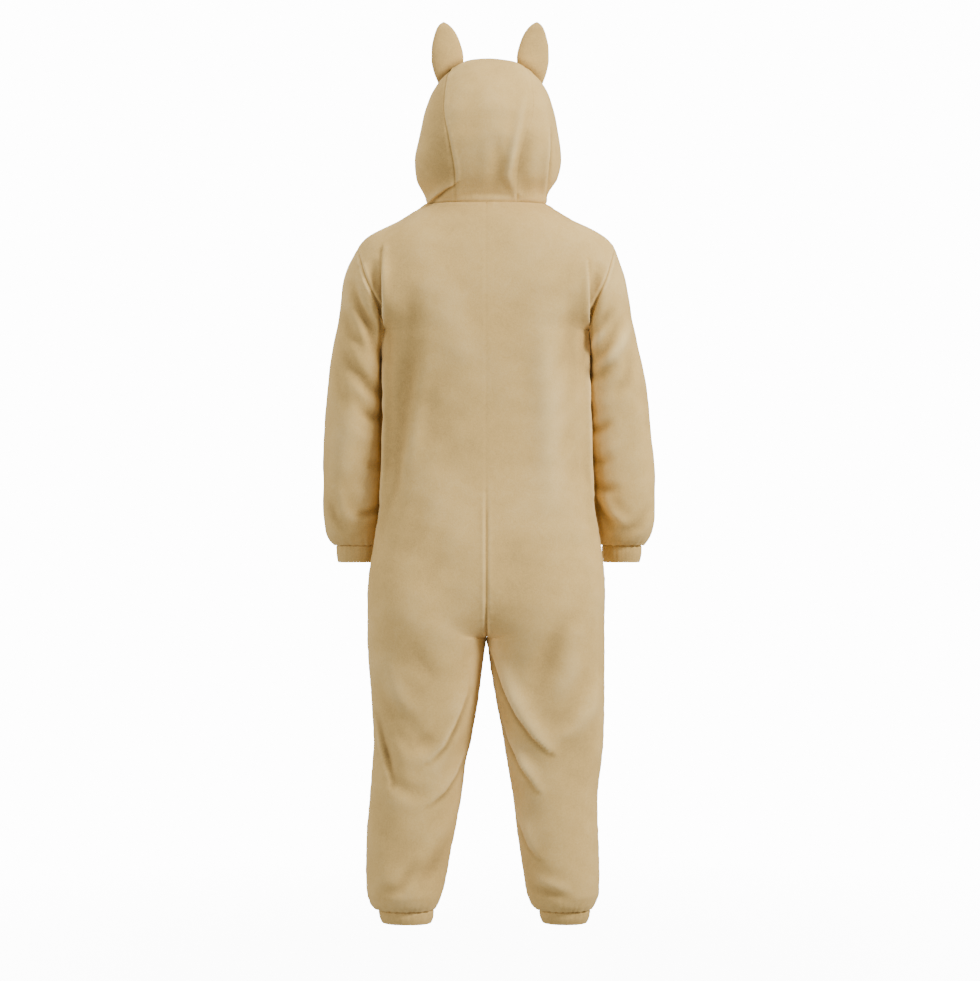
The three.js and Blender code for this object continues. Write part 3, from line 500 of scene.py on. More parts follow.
def stripGrid(seams, along, neckRow):
    start = sideAngle(hoodCut["faceTopY"], hoodCut["faceTopZ"])
    end = sideAngle(neckRow[0, 1], neckRow[0, 2])
    angle = (start + (end - start) * along)[:, None]
    shares = columnSteps[:stripCount + 1] / body["stripPart"]
    left = hoodPoint(1, angle, np.abs(seams[1][:, :1]) * shares[None])
    right = hoodPoint(-1, angle, np.abs(seams[-1][:, :1]) * shares[None])
    left[:, -1], right[:, -1] = seams[1], seams[-1]
    blendWidth = hump(shares, 0.3)[None, :, None]
    middle = (left[:, :1] + right[:, :1]) / 2
    left = left + (middle - left[:, :1]) * blendWidth
    right = right + (middle - right[:, :1]) * blendWidth
    grid = np.concatenate([right[:, :0:-1], left], axis=1)
    fade = np.maximum(0, 1 - (1 - along) / hoodCut["fadeShare"]) ** 2
    bend = neckRow - grid[-1]
    grid = grid + bend[None] * fade[:, None, None]
    grid[:, 0], grid[:, -1] = seams[-1], seams[1]
    grid[-1] = neckRow
    return grid


earForm = {
    "innerX": [47, 46.5, 47.5, 52, 59, 69, 82], "innerZ": [281, 291, 301, 318, 336, 351, 362.5],
    "outerX": [95, 103, 108, 107.5, 103, 96.5, 87], "outerZ": [246, 264, 288, 311, 334, 352, 363],
    "swell": [13, 13, 12, 9.5, 6.5, 4, 0],
    "rightShift": 14.5, "y": -8, "seat": 0.5, "liftRows": 3, "columns": 30, "rows": 54, "middleX": 76,
    "tipFrom": 5.55, "tipRows": 0.45, "tipNarrows": 0.94, "fuller": 1.2, "leastRoom": 0.4,
}


def crownHeight(side, x, y):
    x, y = np.broadcast_arrays(np.asarray(x, float), np.asarray(y, float))
    return halve(x.shape, 180, hoodCut["crownTopZ"], lambda z: hoodHalfWidth(side, y, z) > np.abs(x))


def earGrid(side, face):
    shift = 0 if side > 0 else earForm["rightShift"]
    rows = spread(0, len(earForm["swell"]) - 1, earForm["rows"], 0.5, 0.5)
    s = spread(0, 1, earForm["columns"], 0.6, 0.6)
    inner, outer, innerZ, outerZ, swell = (
        readRows(earForm, key, rows)[:, None] for key in ("innerX", "outerX", "innerZ", "outerZ", "swell"))
    narrowed = np.clip((rows[:, None] - earForm["tipFrom"]) / earForm["tipRows"], 0, 1)
    tip = np.sqrt(1 - earForm["tipNarrows"] * narrowed ** 2)
    middle, half = (inner + outer) / 2, (outer - inner) / 2 + earForm["fuller"]
    inner, outer = middle - half * tip, middle + half * tip
    arch = np.sqrt(np.maximum(0, 1 - (2 * s - 1) ** 2))
    y = earForm["y"] + face * swell * arch
    base = earForm["innerX"][0] + (earForm["outerX"][0] - earForm["innerX"][0]) * s + shift
    baseZ = earForm["innerZ"][0] + (earForm["outerZ"][0] - earForm["innerZ"][0]) * s
    settle = crownHeight(side, base, earForm["y"] + face * earForm["swell"][0] * arch)
    fade = np.maximum(0, 1 - rows / earForm["liftRows"])[:, None] ** 2
    lift = (settle + earForm["seat"] - baseZ)[None] * fade
    x = inner + (outer - inner) * s + shift
    return np.stack([side * x, y + 0 * x, innerZ + (outerZ - innerZ) * s + lift], -1)


def ringed(grid, closed):
    # a closed ring has its first column again at the end
    return np.concatenate([grid, grid[:, :1]], axis=1) if closed else grid


def cellCorners(grid):
    return grid[:-1, :-1], grid[:-1, 1:], grid[1:, 1:], grid[1:, :-1]


def cellNormals(grid, closed):
    a, b, c, d = cellCorners(ringed(grid, closed))
    return np.cross(c - a, d - b)


def makePiece(name, grid, wall, core, slot, seams, closed=False, held="hung", hem=()):
    # seams and hem name the borders: top, bottom, first, last
    whole = ringed(grid, closed)
    a, b, c, d = cellCorners(whole)
    middle = (c + a + d + b) / 4
    facing = np.sum(cellNormals(grid, closed) * (middle - core(middle)))
    if facing < 0:
        grid = grid[:, ::-1]
        swap = {"first": "last", "last": "first"}
        seams = [swap.get(x, x) for x in seams]
        hem = [swap.get(x, x) for x in hem]
    cells = np.linalg.norm(cellNormals(grid, closed), axis=-1) / 2
    # flat, it is as wide as its longest row and as long as its longest column
    across, down = (
        np.linalg.norm(np.diff(whole, axis=axis), axis=-1).sum(axis=axis).max() for axis in (1, 0))
    return {
        "name": name, "grid": grid.copy(), "wall": wall, "slot": slot, "closed": closed, "seams": seams,
        "hem": hem, "held": held, "flat": (across * toMetres, down * toMetres),
        "area": cells.sum() * toMetres ** 2,
    }


def skinNormals(items):
    # one normal for each place, shared by the pieces that meet there
    points = np.concatenate([item["grid"].reshape(-1, 3) for item in items])
    keys = np.round(points * cloth["samePlace"]).astype(np.int64)
    places = np.unique(keys, axis=0, return_inverse=True)[1].reshape(-1)
    sums = np.zeros((places.max() + 1, 3))
    starts = np.cumsum([0] + [item["grid"][..., 0].size for item in items])
    for item, start, end in zip(items, starts, starts[1:]):
        index = ringed(np.arange(start, end).reshape(item["grid"].shape[:2]), item["closed"])
        normals = cellNormals(item["grid"], item["closed"]).reshape(-1, 3)
        for corner in cellCorners(index):
            np.add.at(sums, places[corner.reshape(-1)], normals)
    sums = unit(sums)
    return [sums[places[start:end]].reshape(item["grid"].shape)
            for item, start, end in zip(items, starts, starts[1:])]


def borderDistance(item, names):
    # how far along the cloth every point lies from the nearest of some borders
    grid = item["grid"]
    far = np.full(grid.shape[:2], 1e3)
    if not names:
        return far
    across, down = (
        np.cumsum(np.linalg.norm(np.diff(grid, axis=axis), axis=-1), axis=axis) for axis in (1, 0))
    across = np.concatenate([np.zeros((grid.shape[0], 1)), across], axis=1)
    down = np.concatenate([np.zeros((1, grid.shape[1])), down])
    reach = {"first": across, "last": across[:, -1:] - across, "top": down, "bottom": down[-1:] - down}
    for name in names:
        far = np.minimum(far, reach[name])
    return far


def softNoise(points, size, seed, waves=7):
    # smooth, seeded unevenness of about a size in millimetres
    rng = np.random.default_rng(seed)
    bend = rng.normal(size=(3, 3)) / size
    warped = points + 0.3 * size * np.sin(points @ bend.T + rng.uniform(0, 6, 3))
    total = np.zeros(points.shape[:-1])
    for wave in range(waves):
        way = rng.normal(size=3)
        way *= 2 * math.pi / (size * rng.uniform(0.75, 1.45) * np.linalg.norm(way))
        total += np.sin(warped @ way + rng.uniform(0, 2 * math.pi))
    return total / math.sqrt(waves)


# The largest folds, nearly all of which the solids have too: start x z, end x z, width, depth.
largeFolds = {
    "back": [
        (150, -220, 183, -543, 24, -10),
        (176, -320, 184, -470, 12, -4),
        (-112, -240, -132, -570, 32, 9),
        (-164, -200, -172, -350, 15, -7),
        (220, -130, 208, -204, 13, -6),
        (-219, -140, -207, -208, 13, -6),
        (262, -168, 205, -300, 17, -10),
        (284, -222, 240, -281, 16, -6),
        (-278, -251, -225, -330, 17, 7),
        (219, -1030, 188, -1122, 18, -12),
        (209, -960, 110, -1072, 20, -9),
        (44, -985, 104, -1130, 20, 9),
        (84, -1267, 118, -1335, 18, -7),
        (-142, -843, -90, -945, 18, -8),
        (-18, -900, -116, -1069, 18, 10),
        (-40, -1041, -96, -1150, 18, 8),
        (-64, -1204, -92, -1275, 18, 7),
    ],
    "front": [
        (120, -230, 160, -520, 28, -9),
        (-116, -260, -150, -560, 28, -8),
        (110, -600, 60, -760, 24, 7),
        (-118, -580, -62, -742, 24, 7),
        (30, -900, 120, -1060, 20, 9),
        (-26, -905, -126, -1040, 20, 9),
        (60, -1060, 140, -1170, 20, -8),
        (-54, -1075, -132, -1180, 20, -8),
        (262, -180, 216, -330, 18, -8),
        (-262, -176, -214, -320, 18, -8),
    ],
}

# Creases along bent lines: line of x z, width, depth, and the side that falls off steeply,
# where one does: 1 is left of the line's way with x to the right and z up, -1 right.
creases = {
    "back": [
        # the edges of the back stand before the sleeves
        ([(201, -96), (202, -180), (202, -260), (201, -400), (204, -540), (212, -610)], 9, 8, 1),
        ([(-195, -120), (-199, -200), (-199, -260), (-199, -400), (-206, -540), (-213, -610)], 9, 8, -1),
        ([(219, -128), (212, -180), (206, -226)], 9, -6, 0),
        ([(-219, -134), (-212, -180), (-205, -226)], 9, -5, 0),
        ([(146, -190), (153, -327), (167, -446), (186, -560)], 15, -3.3, 0),
        ([(171, -513), (182, -560), (195, -610)], 7, -3, 0),
        ([(132, -330), (143, -450), (160, -560)], 14, 3, 0),
        ([(-106, -240), (-122, -420), (-130, -590)], 20, 2, 0),
        ([(-156, -250), (-164, -400), (-160, -520)], 18, -2, 0),
        # left sleeve
        ([(262, -168), (250, -204), (233, -240), (207, -305)], 9, -6, 0),
        ([(252, -150), (240, -196), (222, -232)], 8, 4, 0),
        ([(284, -222), (266, -263), (236, -290)], 11, -4, 0),
        ([(292, -283), (268, -325), (232, -352)], 10, -4, 0),
        ([(300, -303), (292, -360), (280, -400)], 9, -3, 0),
        ([(207, -372), (226, -364), (250, -344)], 9, -5, 0),
        ([(207, -395), (232, -390), (262, -366)], 10, 2.5, 0),
        ([(207, -420), (224, -421), (240, -412)], 9, -6, 0),
        ([(209, -460), (236, -462), (266, -446)], 14, 2.5, 0),
        ([(209, -514), (222, -517), (234, -512)], 10, -4, 0),
        ([(211, -566), (234, -574), (262, -566)], 14, 2.5, 0),
        ([(214, -600), (232, -612), (246, -612)], 7, -6, 0),
        ([(314, -596), (304, -620), (284, -647)], 8, -5, 0),
        ([(296, -560), (282, -604), (256, -634)], 10, 3, 0),
        ([(262, -420), (290, -480), (300, -560)], 22, 3, 0),
        # right sleeve
        ([(-227, -249), (-214, -275), (-203, -290)], 9, 5, 0),
        ([(-244, -216), (-226, -240), (-208, -258)], 8, -4, 0),
        ([(-282, -244), (-262, -284), (-232, -322)], 11, 5, 0),
        ([(-262, -236), (-240, -276), (-212, -308)], 9, -4, 0),
        ([(-288, -297), (-276, -350), (-250, -384)], 10, -4, 0),
        ([(-203, -341), (-222, -340), (-246, -322)], 9, -5.5, 0),
        ([(-205, -384), (-230, -390), (-260, -378)], 13, 2.5, 0),
        ([(-206, -441), (-222, -444), (-240, -434)], 9, -7, 0),
        ([(-208, -476), (-236, -482), (-266, -470)], 13, 2.5, 0),
        ([(-211, -503), (-226, -508), (-240, -504)], 8, -3.5, 0),
        ([(-214, -552), (-232, -562), (-252, -562)], 9, -5, 0),
        ([(-213, -586), (-227, -616), (-243, -636)], 8, -6, 0),
        ([(-232, -580), (-250, -610), (-276, -632)], 9, 4, 0),
        ([(-320, -600), (-300, -636), (-270, -650)], 9, -4, 0),
        ([(-300, -400), (-314, -480), (-306, -560)], 20, 3, 0),
        # left leg
        ([(212, -930), (196, -990), (174, -1042), (146, -1068), (100, -1052), (66, -1012)], 14, -3.5, 0),
        ([(196, -900), (176, -960), (150, -1010)], 16, 4, 0),
        ([(219, -1010), (208, -1066), (194, -1112), (189, -1136)], 13, 6, -1),
        ([(190, -1130), (160, -1150), (130, -1160)], 12, -3, 0),
        ([(40, -960), (62, -1020), (84, -1062), (112, -1092)], 14, 6, -1),
        ([(41, -1075), (62, -1118), (84, -1152), (112, -1176)], 13, 5, -1),
        ([(80, -1256), (98, -1298), (122, -1336)], 14, -3, 0),
        ([(70, -1200), (92, -1250), (116, -1290)], 14, 3, 0),
        ([(140, -1300), (170, -1344), (205, -1356)], 10, -4, 0),
        ([(150, -860), (128, -900), (96, -940)], 18, -3, 0),
        # right leg
        ([(-3, -862), (-17, -893), (-37, -950), (-64, -1002), (-94, -1045), (-124, -1074)], 14, 9, 1),
        ([(-30, -1010), (-46, -1056), (-68, -1100), (-100, -1148)], 12, 7, 1),
        ([(-56, -1180), (-66, -1214), (-86, -1262), (-100, -1280)], 12, 5, 1),
        ([(-14, -900), (-27, -960), (-38, -1015), (-50, -1080)], 12, -4, 0),
        ([(-219, -940), (-205, -990), (-176, -1030), (-140, -1050)], 14, 5, 0),
        ([(-226, -990), (-216, -1050), (-186, -1084)], 14, -3, 0),
        ([(-150, -830), (-122, -890), (-90, -952)], 24, -2, 0),
        ([(-176, -850), (-160, -920), (-130, -980)], 18, 4, 0),
        ([(-90, -1346), (-116, -1352), (-161, -1362)], 8, -4, 0),
        ([(-88, -1310), (-110, -1330), (-150, -1340)], 10, 3, 0),
        # hood
        ([(61, 34), (80, 26), (100, 12), (124, -6)], 8, 7, -1),
        ([(-76, 204), (-64, 149), (-50, 87), (-41, 48), (-56, 14)], 7, 4, 0),
        ([(-84, 120), (-72, 84), (-66, 56), (-74, 28)], 11, -5, 0),
        ([(-20, 110), (-22, 70), (-14, 26)], 12, -4, 0),
        ([(-122, 140), (-120, 90), (-117, 48), (-115, 10)], 8, 6, -1),
        ([(24, 216), (28, 150), (24, 90)], 22, -2, 0),
        ([(50, 284), (66, 270), (94, 246)], 5, -4, 0),
        ([(-64, 284), (-80, 270), (-108, 246)], 5, -4, 0),
    ],
    "front": [
        # guessed, as the same wear would draw them
        ([(196, -130), (198, -200), (198, -260), (199, -400)], 8, 4, -1),
        ([(-196, -130), (-198, -200), (-198, -260), (-199, -400)], 8, 4, 1),
        ([(40, -130), (90, -190), (150, -230)], 13, -4, 0),
        ([(-36, -150), (-88, -205), (-150, -240)], 13, -4, 0),
        ([(60, -420), (110, -470), (180, -500)], 15, -4, 0),
        ([(-70, -440), (-120, -480), (-184, -520)], 15, -4, 0),
        ([(16, -756), (70, -800), (140, -812)], 15, -2.5, 0),
        ([(-14, -770), (-66, -812), (-134, -828)], 15, -2.5, 0),
        ([(60, -1060), (110, -1120), (150, -1170)], 11, -5, 0),
        ([(-54, -1075), (-100, -1130), (-140, -1180)], 11, -5, 0),
        ([(216, -1030), (202, -1072), (174, -1102), (130, -1116)], 15, -3, 0),
        ([(-214, -1020), (-202, -1066), (-172, -1104), (-124, -1122)], 15, -3, 0),
        ([(100, -1290), (150, -1340), (200, -1350)], 10, -4, 0),
        ([(-96, -1280), (-140, -1336), (-190, -1352)], 10, -4, 0),
        ([(290, -360), (262, -400), (240, -410)], 9, -6, 0),
        ([(-296, -370), (-266, -410), (-242, -424)], 9, -6, 0),
        ([(304, -390), (276, -432), (240, -440)], 10, 5, 0),
        ([(-308, -400), (-280, -444), (-244, -450)], 10, 5, 0),
        ([(310, -430), (276, -470), (240, -476)], 9, -6, 0),
        ([(-314, -440), (-280, -482), (-244, -486)], 9, -6, 0),
        ([(300, -560), (276, -600), (240, -616)], 9, -4, 0),
        ([(-306, -566), (-280, -606), (-246, -622)], 9, -4, 0),
    ],
}


def lineDistance(x, z, points):
    # nearest distance to a bent line, how far along it that is from 0 to 1, and on which side
    lengths = [math.dist(a, b) for a, b in zip(points, points[1:])]
    total, done = sum(lengths), 0.0
    best, along, turn = np.full(x.shape, 1e6), np.zeros(x.shape), np.zeros(x.shape)
    for (ax, az), (bx, bz), length in zip(points, points[1:], lengths):
        t = np.clip(((x - ax) * (bx - ax) + (z - az) * (bz - az)) / length ** 2, 0, 1)
        away = np.hypot(x - ax - (bx - ax) * t, z - az - (bz - az) * t)
        nearer = away < best
        best = np.where(nearer, away, best)
        along = np.where(nearer, (done + t * length) / total, along)
        turn = np.where(nearer, (bx - ax) * (z - az) - (bz - az) * (x - ax), turn)
        done += length
    return best, along, np.sign(turn)


foldForm = {"ends": 0.4, "spread": 1.1}
# what a crease is like across itself, as parts of its width, and the painted shade and light it puts into the
# colour
creaseForm = {
    "ends": 0.2, "fall": 0.34, "underAt": 1.6, "underSpread": 1.25, "underLift": 0.45,
    "crestShade": 0.5, "rimShade": 1.6, "rimWidth": 2.4, "underShade": 2.7,
    "besideAt": 2.1, "besideLift": 0.28, "narrow": 12, "narrowShade": 1.5, "wideShade": 1.1,
}


# the large folds' lift, which the colour also takes as painted shade in their troughs and painted light on their
# ridges
def foldLiftAndPaintedShade(points, normals):
    lift = np.zeros(points.shape[:-1])
    x, z = points[..., 0], points[..., 2]
    for face, rows in largeFolds.items():
        facing = np.sqrt(np.maximum(0, normals[..., 1] * (1 if face == "back" else -1)))
        for x0, z0, x1, z1, width, depth in rows:
            away, along = lineDistance(x, z, [(x0, z0), (x1, z1)])[:2]
            taper = foldForm["ends"] + (1 - foldForm["ends"]) * np.sin(math.pi * along)
            lift += depth * facing * taper * hump(away, foldForm["spread"] * width)
    return lift


def creaseLift(points, normals):
    # how far the creases lift the cloth, and the painted shade and light they put into its colour
    form = creaseForm
    lift, shade = np.zeros(points.shape[:-1]), np.zeros(points.shape[:-1])
    x, z = points[..., 0], points[..., 2]
    for face, rows in creases.items():
        facing = np.sqrt(np.maximum(0, normals[..., 1] * (1 if face == "back" else -1)))
        for line, width, depth, steep in rows:
            away, along, side = lineDistance(x, z, line)
            arch = np.sin(math.pi * np.clip(along, 0.02, 0.98)) ** 0.6
            taper = depth * facing * (form["ends"] + (1 - form["ends"]) * arch)
            if steep:
                fall = width * form["fall"]
                falls = side == steep
                crest = hump(away, np.where(falls, fall, width))
                under = np.where(falls, hump(away - form["underAt"] * fall, form["underSpread"] * fall), 0)
                rim = form["rimShade"] * hump(away, form["rimWidth"])
                lift += taper * (crest - form["underLift"] * under)
                # painted light on the crest with a thin brighter rim, and painted shade under the steep side
                shade += taper * (form["crestShade"] * crest + rim - form["underShade"] * under)
            else:
                beside = hump(away - form["besideAt"] * width, width)
                shape = hump(away, width) - form["besideLift"] * beside
                depthShade = form["narrowShade"] if width < form["narrow"] else form["wideShade"]
                lift += taper * shape
                # painted shade in a trough and painted light on a ridge
                shade += taper * shape * depthShade
    return lift, shade


# how strongly the seams draw the cloth in and how dark their painted shade is, where that isn't plainly 1
seamShow = {
    "centreHalf": 14, "centreHigh": 0.12, "centreLow": 1.05, "centreFrom": (540, 640), "hoodRight": 0.2,
    "armhole": 1.5, "tipReach": 20, "underarmReach": 24, "stripFoot": 0.4,
}


def seamStrength(points):
    # the centre back seam shows plainly only below the waist, and the hood's right seam hardly
    x, y, z = points[..., 0], points[..., 1], points[..., 2]
    wide = np.abs(x)
    show = seamShow
    centre = (wide < show["centreHalf"]) & (y > 0) & (z < -4)
    strength = np.where(centre, show["centreHigh"] + show["centreLow"] * ease(-z, *show["centreFrom"]), 1.0)
    strength = np.where((x < -30) & (z > 14) & (y > -60), show["hoodRight"], strength)
    arm = (y > 0) & (wide > 195) & (z < -96) & (z > -262)
    strength = np.where(arm, show["armhole"], strength)
    strength = strength * (1 - 0.8 * hump(np.hypot(wide - 255, z - body["shoulderTipZ"]), show["tipReach"]))
    strength = np.where((x > 30) & (z > 2) & (z < 30) & (y > 20), show["stripFoot"], strength)
    return strength * (1 - 0.85 * hump(np.hypot(wide - 198, z - body["underarmZ"]), show["underarmReach"]))


# painted light and shade: a painted light rim on the back's edges with painted shade just inside it, painted
# shade in the pocket on the sleeve beside it, painted light in the underarm, painted shade on the hood's left
# lobe, painted light on its strip's edge, and the ears darker all over
paint = {
    "edgeX": 202, "rim": 15, "rimWidth": 3.6, "paintedInRimShade": 3.5, "inRimAt": 13, "inRimWidth": 7,
    "beside": -2, "besideX": 199, "besideWidth": 9,
    "underarm": (205, -268), "underarmLight": 8, "underarmReach": 16,
    "paintedLobeShade": -9, "lobeReach": 70, "strip": 4, "stripWidth": 9, "ear": -4,
}


def paintForm(item, normals, away):
    # painted light and shade that follow a whole piece
    grid, name = item["grid"], item["name"]
    x, z = np.abs(grid[..., 0]), grid[..., 2]
    facing = np.clip(normals[..., 1], 0, 1)
    if name.startswith("back"):
        side = paint["edgeX"]
        edge = side + (x.max(axis=1, keepdims=True) - side) * ease(-z, 240, 257)
        span = ease(-z, 110, 200) * (1 - ease(-z, 600, 690))
        # a painted light rim along the back's edge, with painted shade just inside it
        rim = paint["rim"] * span * hump(edge - x, paint["rimWidth"])
        rim = rim - paint["paintedInRimShade"] * span * hump(edge - x - paint["inRimAt"], paint["inRimWidth"])
        return rim * (normals[..., 1] > -0.3)
    if name.startswith("sleeve"):
        rearward = normals[..., 1] > -0.2
        # painted shade on the sleeve beside the body, and painted light in the underarm
        beside = paint["beside"] * rearward * hump(x - paint["besideX"], paint["besideWidth"])
        underarm = np.hypot(x - paint["underarm"][0], z - paint["underarm"][1])
        return beside * ease(-z, 120, 250) + paint["underarmLight"] * hump(underarm, paint["underarmReach"])
    if name == "hood_left":
        # painted shade on the hood's left lobe
        return paint["paintedLobeShade"] * facing ** 0.5 * hump(away, paint["lobeReach"]) * ease(z, 12, 60)
    if name == "hood_centre":
        # painted light along the strip's left edge, next to its seam
        widest = np.abs(grid[:, :, 0]).max(axis=1, keepdims=True)
        left = paint["strip"] * hump(grid[..., 0] - widest, paint["stripWidth"])
        return left * facing ** 0.5 * ease(z, 20, 60)
    return (paint["ear"] if name.startswith("ear") else 0) + 0 * x


gather = {
    "legX": 155, "sleeveX": 264, "height": 0.6, "reach": 30, "flatFor": 6,
    "bandFull": 2.0, "bandHeight": 0.42,
}


def gatherLift(item):
    # gathers where a sleeve or leg is drawn into its band
    if not item["name"].startswith(("sleeve", "back", "front")):
        return 0
    away, ring = borderDistance(item, ["bottom"]), item["grid"][-1]
    middleX = gather["legX"] if ring[0, 2] < -1000 else gather["sleeveX"]
    turn = np.arctan2(ring[:, 1] - ring[:, 1].mean(), ring[:, 0] - middleX * np.sign(ring[:, 0].mean()))
    wave = np.sin(17 * turn + 1.3 * np.sin(3 * turn)) + 0.6 * np.sin(29 * turn + 2 * np.sin(2 * turn))
    return gather["height"] * wave[None] * hump(away, gather["reach"]) * (1 - hump(away, gather["flatFor"]))


def bandLift(item):
    # a band is full in the middle and gathered by what holds it
    grid = item["grid"]
    middle = grid.mean(axis=(0, 1))
    turn = np.arctan2(grid[..., 1] - middle[1], grid[..., 0] - middle[0])
    rows = np.linspace(0, 1, grid.shape[0])[:, None]
    gathers = np.sin(31 * turn + 2 * np.sin(3 * turn)) + 0.7 * np.sin(19 * turn + 1.7 * np.sin(2 * turn))
    full = gather["bandFull"] * np.sin(math.pi * rows ** 0.8)
    return full + gather["bandHeight"] * gathers * (0.35 + 0.65 * (1 - rows))


# how cloth is raised beside its seams and hem, between them, and on a band, and the painted shade and light there
dress = {
    "riseAt": 2.2, "puckerSize": 13, "puckerAt": 7, "puckerReach": 7,
    "soft": 1.4, "softSize": 120, "softTall": 0.6, "fine": 0.5, "fineSize": 46,
    "seamCalm": 30, "hemCalm": 0.7, "hemCalmReach": 14,
    "seamShade": -9, "seamShadeWidth": 1.9, "riseLight": 5, "riseLightAt": 5, "riseLightWidth": 2.6,
    "hemDip": 0.8, "hemDipAt": 2, "hemDipWidth": 2.2,
    "bandShade": 3.5, "bandEndLight": 11, "bandEndFrom": 0.86, "bandTopShade": 4, "bandTopReach": 0.2,
    "earFootShade": 12, "earFootReach": 9,
}


def dressSkin(items, creased=True):
    for item, normals in zip(items, skinNormals(items)):
        item["lift"] = foldLiftAndPaintedShade(item["grid"], normals) if creased else np.zeros(item["grid"].shape[:2])
        item["grid"] = item["grid"] + normals * item["lift"][..., None]
    for item, normals in zip(items, skinNormals(items)):
        grid = item["grid"]
        away, edge = borderDistance(item, item["seams"]), borderDistance(item, item["hem"])
        strength = seamStrength(grid) * (0 if "ground" in item else 1)
        # the seam is drawn in, stands out a little beside that, and puckers
        width = cloth["seamWidth"]
        reach = width * (cloth["lobeWidens"] if item["name"] == "hood_left" else 1)
        dip = -cloth["seamDip"] * strength * hump(away, reach)
        dip = dip + cloth["seamRise"] * strength * hump(away - dress["riseAt"] * width, width)
        pucker = cloth["pucker"] * softNoise(grid, dress["puckerSize"], 5)
        pucker = pucker * hump(away - dress["puckerAt"], dress["puckerReach"])
        soft = dress["soft"] * softNoise(grid * [1, 1, dress["softTall"]], dress["softSize"], 11)
        soft = soft + dress["fine"] * softNoise(grid, dress["fineSize"], 12)
        calm = (1 - hump(away, dress["seamCalm"]), 1 - dress["hemCalm"] * hump(edge, dress["hemCalmReach"]))
        lift = dip + pucker * strength + soft * calm[0] * calm[1]
        # painted shade in the seam's groove and a painted highlight on the rise beside it
        shade = dress["seamShade"] * strength * hump(away, dress["seamShadeWidth"])
        shade = shade + dress["riseLight"] * strength * hump(away - dress["riseLightAt"], dress["riseLightWidth"])
        if item["hem"]:
            turned = 1 - ease(edge, cloth["hem"] - 1, cloth["hem"] + 5)
            under = hump(edge - cloth["hem"] - dress["hemDipAt"], dress["hemDipWidth"])
            lift = lift + cloth["hemRise"] * turned - dress["hemDip"] * under
        if creased:
            creaseBy, creaseShade = creaseLift(grid, normals)
            lift = lift + creaseBy + gatherLift(item)
            shade = shade + creaseShade
        shade = shade + paintForm(item, normals, away)
        if item["slot"] == "band":
            lift = lift + bandLift(item)
            rows = np.linspace(0, 1, grid.shape[0])[:, None]
            # the band darker all over, with painted shade at its top under the blousing above it and a painted
            # light rim at its lower edge
            shade = shade - dress["bandShade"] + dress["bandEndLight"] * ease(rows, dress["bandEndFrom"], 1)
            shade = shade - dress["bandTopShade"] * hump(rows, dress["bandTopReach"])
        if "ground" in item:
            # painted shade where the ear meets the crown
            shade = shade - dress["earFootShade"] * hump(borderDistance(item, ["top"]), dress["earFootReach"])
        item["grid"] = grid + normals * lift[..., None]
        # the colour's painted shade and light: the large folds darker in their troughs and lighter on their
        # ridges, the soft unevenness lighter where it rises, and the painted shade and light of seams, creases,
        # bands and pieces
        item["lift"] = cloth["foldShade"] * item["lift"] + soft + shade
    for item, normals in zip(items, skinNormals(items)):
        item["normals"] = normals


def addMesh(name, points, faces, material, sharp, turnOut=False):
    mesh = bpy.data.meshes.new(name)
    mesh.from_pydata((points.reshape(-1, 3) * toMetres).tolist(), [], faces)
    mesh.validate()
    if turnOut:
        bm = bmesh.new()
        bm.from_mesh(mesh)
        bmesh.ops.recalc_face_normals(bm, faces=bm.faces)
        bm.to_mesh(mesh)
        bm.free()
    mesh.polygons.foreach_set("use_smooth", [True] * len(mesh.polygons))
    mesh.set_sharp_from_angle(angle=math.radians(sharp))
    obj = bpy.data.objects.new(name, mesh)
    bpy.context.scene.collection.objects.link(obj)
    mesh.materials.append(materials[material])
    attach(obj, "suit")
    return obj


def borderParts(item, index):
    # each border's points in order, the next points inwards, and which way its faces turn
    parts = [("top", index[0], index[1], 1), ("bottom", index[-1], index[-2], -1)]
    if not item["closed"]:
        parts += [("first", index[:, 0], index[:, 1], -1), ("last", index[:, -1], index[:, -2], 1)]
    return parts


def layers(item):
    # the outer and the inner face of a piece
    outer = item["grid"].copy()
    inner = outer - item["normals"] * item["wall"]
    if "ground" in item:
        # an ear's thin place never lets the inner layer through to the other leaf
        depth = item["leaf"] * (outer[..., 1] - earForm["y"])
        room = np.maximum(item["leaf"] * (inner[..., 1] - earForm["y"]), earForm["leastRoom"] * depth)
        inner[..., 1] = earForm["y"] + item["leaf"] * room
        inner[0] = outer[0] - item["wall"] * unit(item["normals"][0] * [1, 1, 0])
        outer[0, :, 2] = item["ground"](outer[0])
        inner[0, :, 2] = item["ground"](inner[0])
    return outer.reshape(-1, 3), inner.reshape(-1, 3)


def roundEdge(outer, inner, edge, inside, normal, wall):
    # a free edge is folded under, so it ends in a half round
    out = outer[edge] - outer[inside]
    out = unit(out - normal * np.sum(out * normal, axis=-1, keepdims=True))
    middle, half = (outer[edge] + inner[edge]) / 2, (outer[edge] - inner[edge]) / 2
    turns = [math.pi * part for part in (0.25, 0.5, 0.75)]
    return [middle + half * math.cos(turn) + out * (math.sin(turn) * wall / 2) for turn in turns]


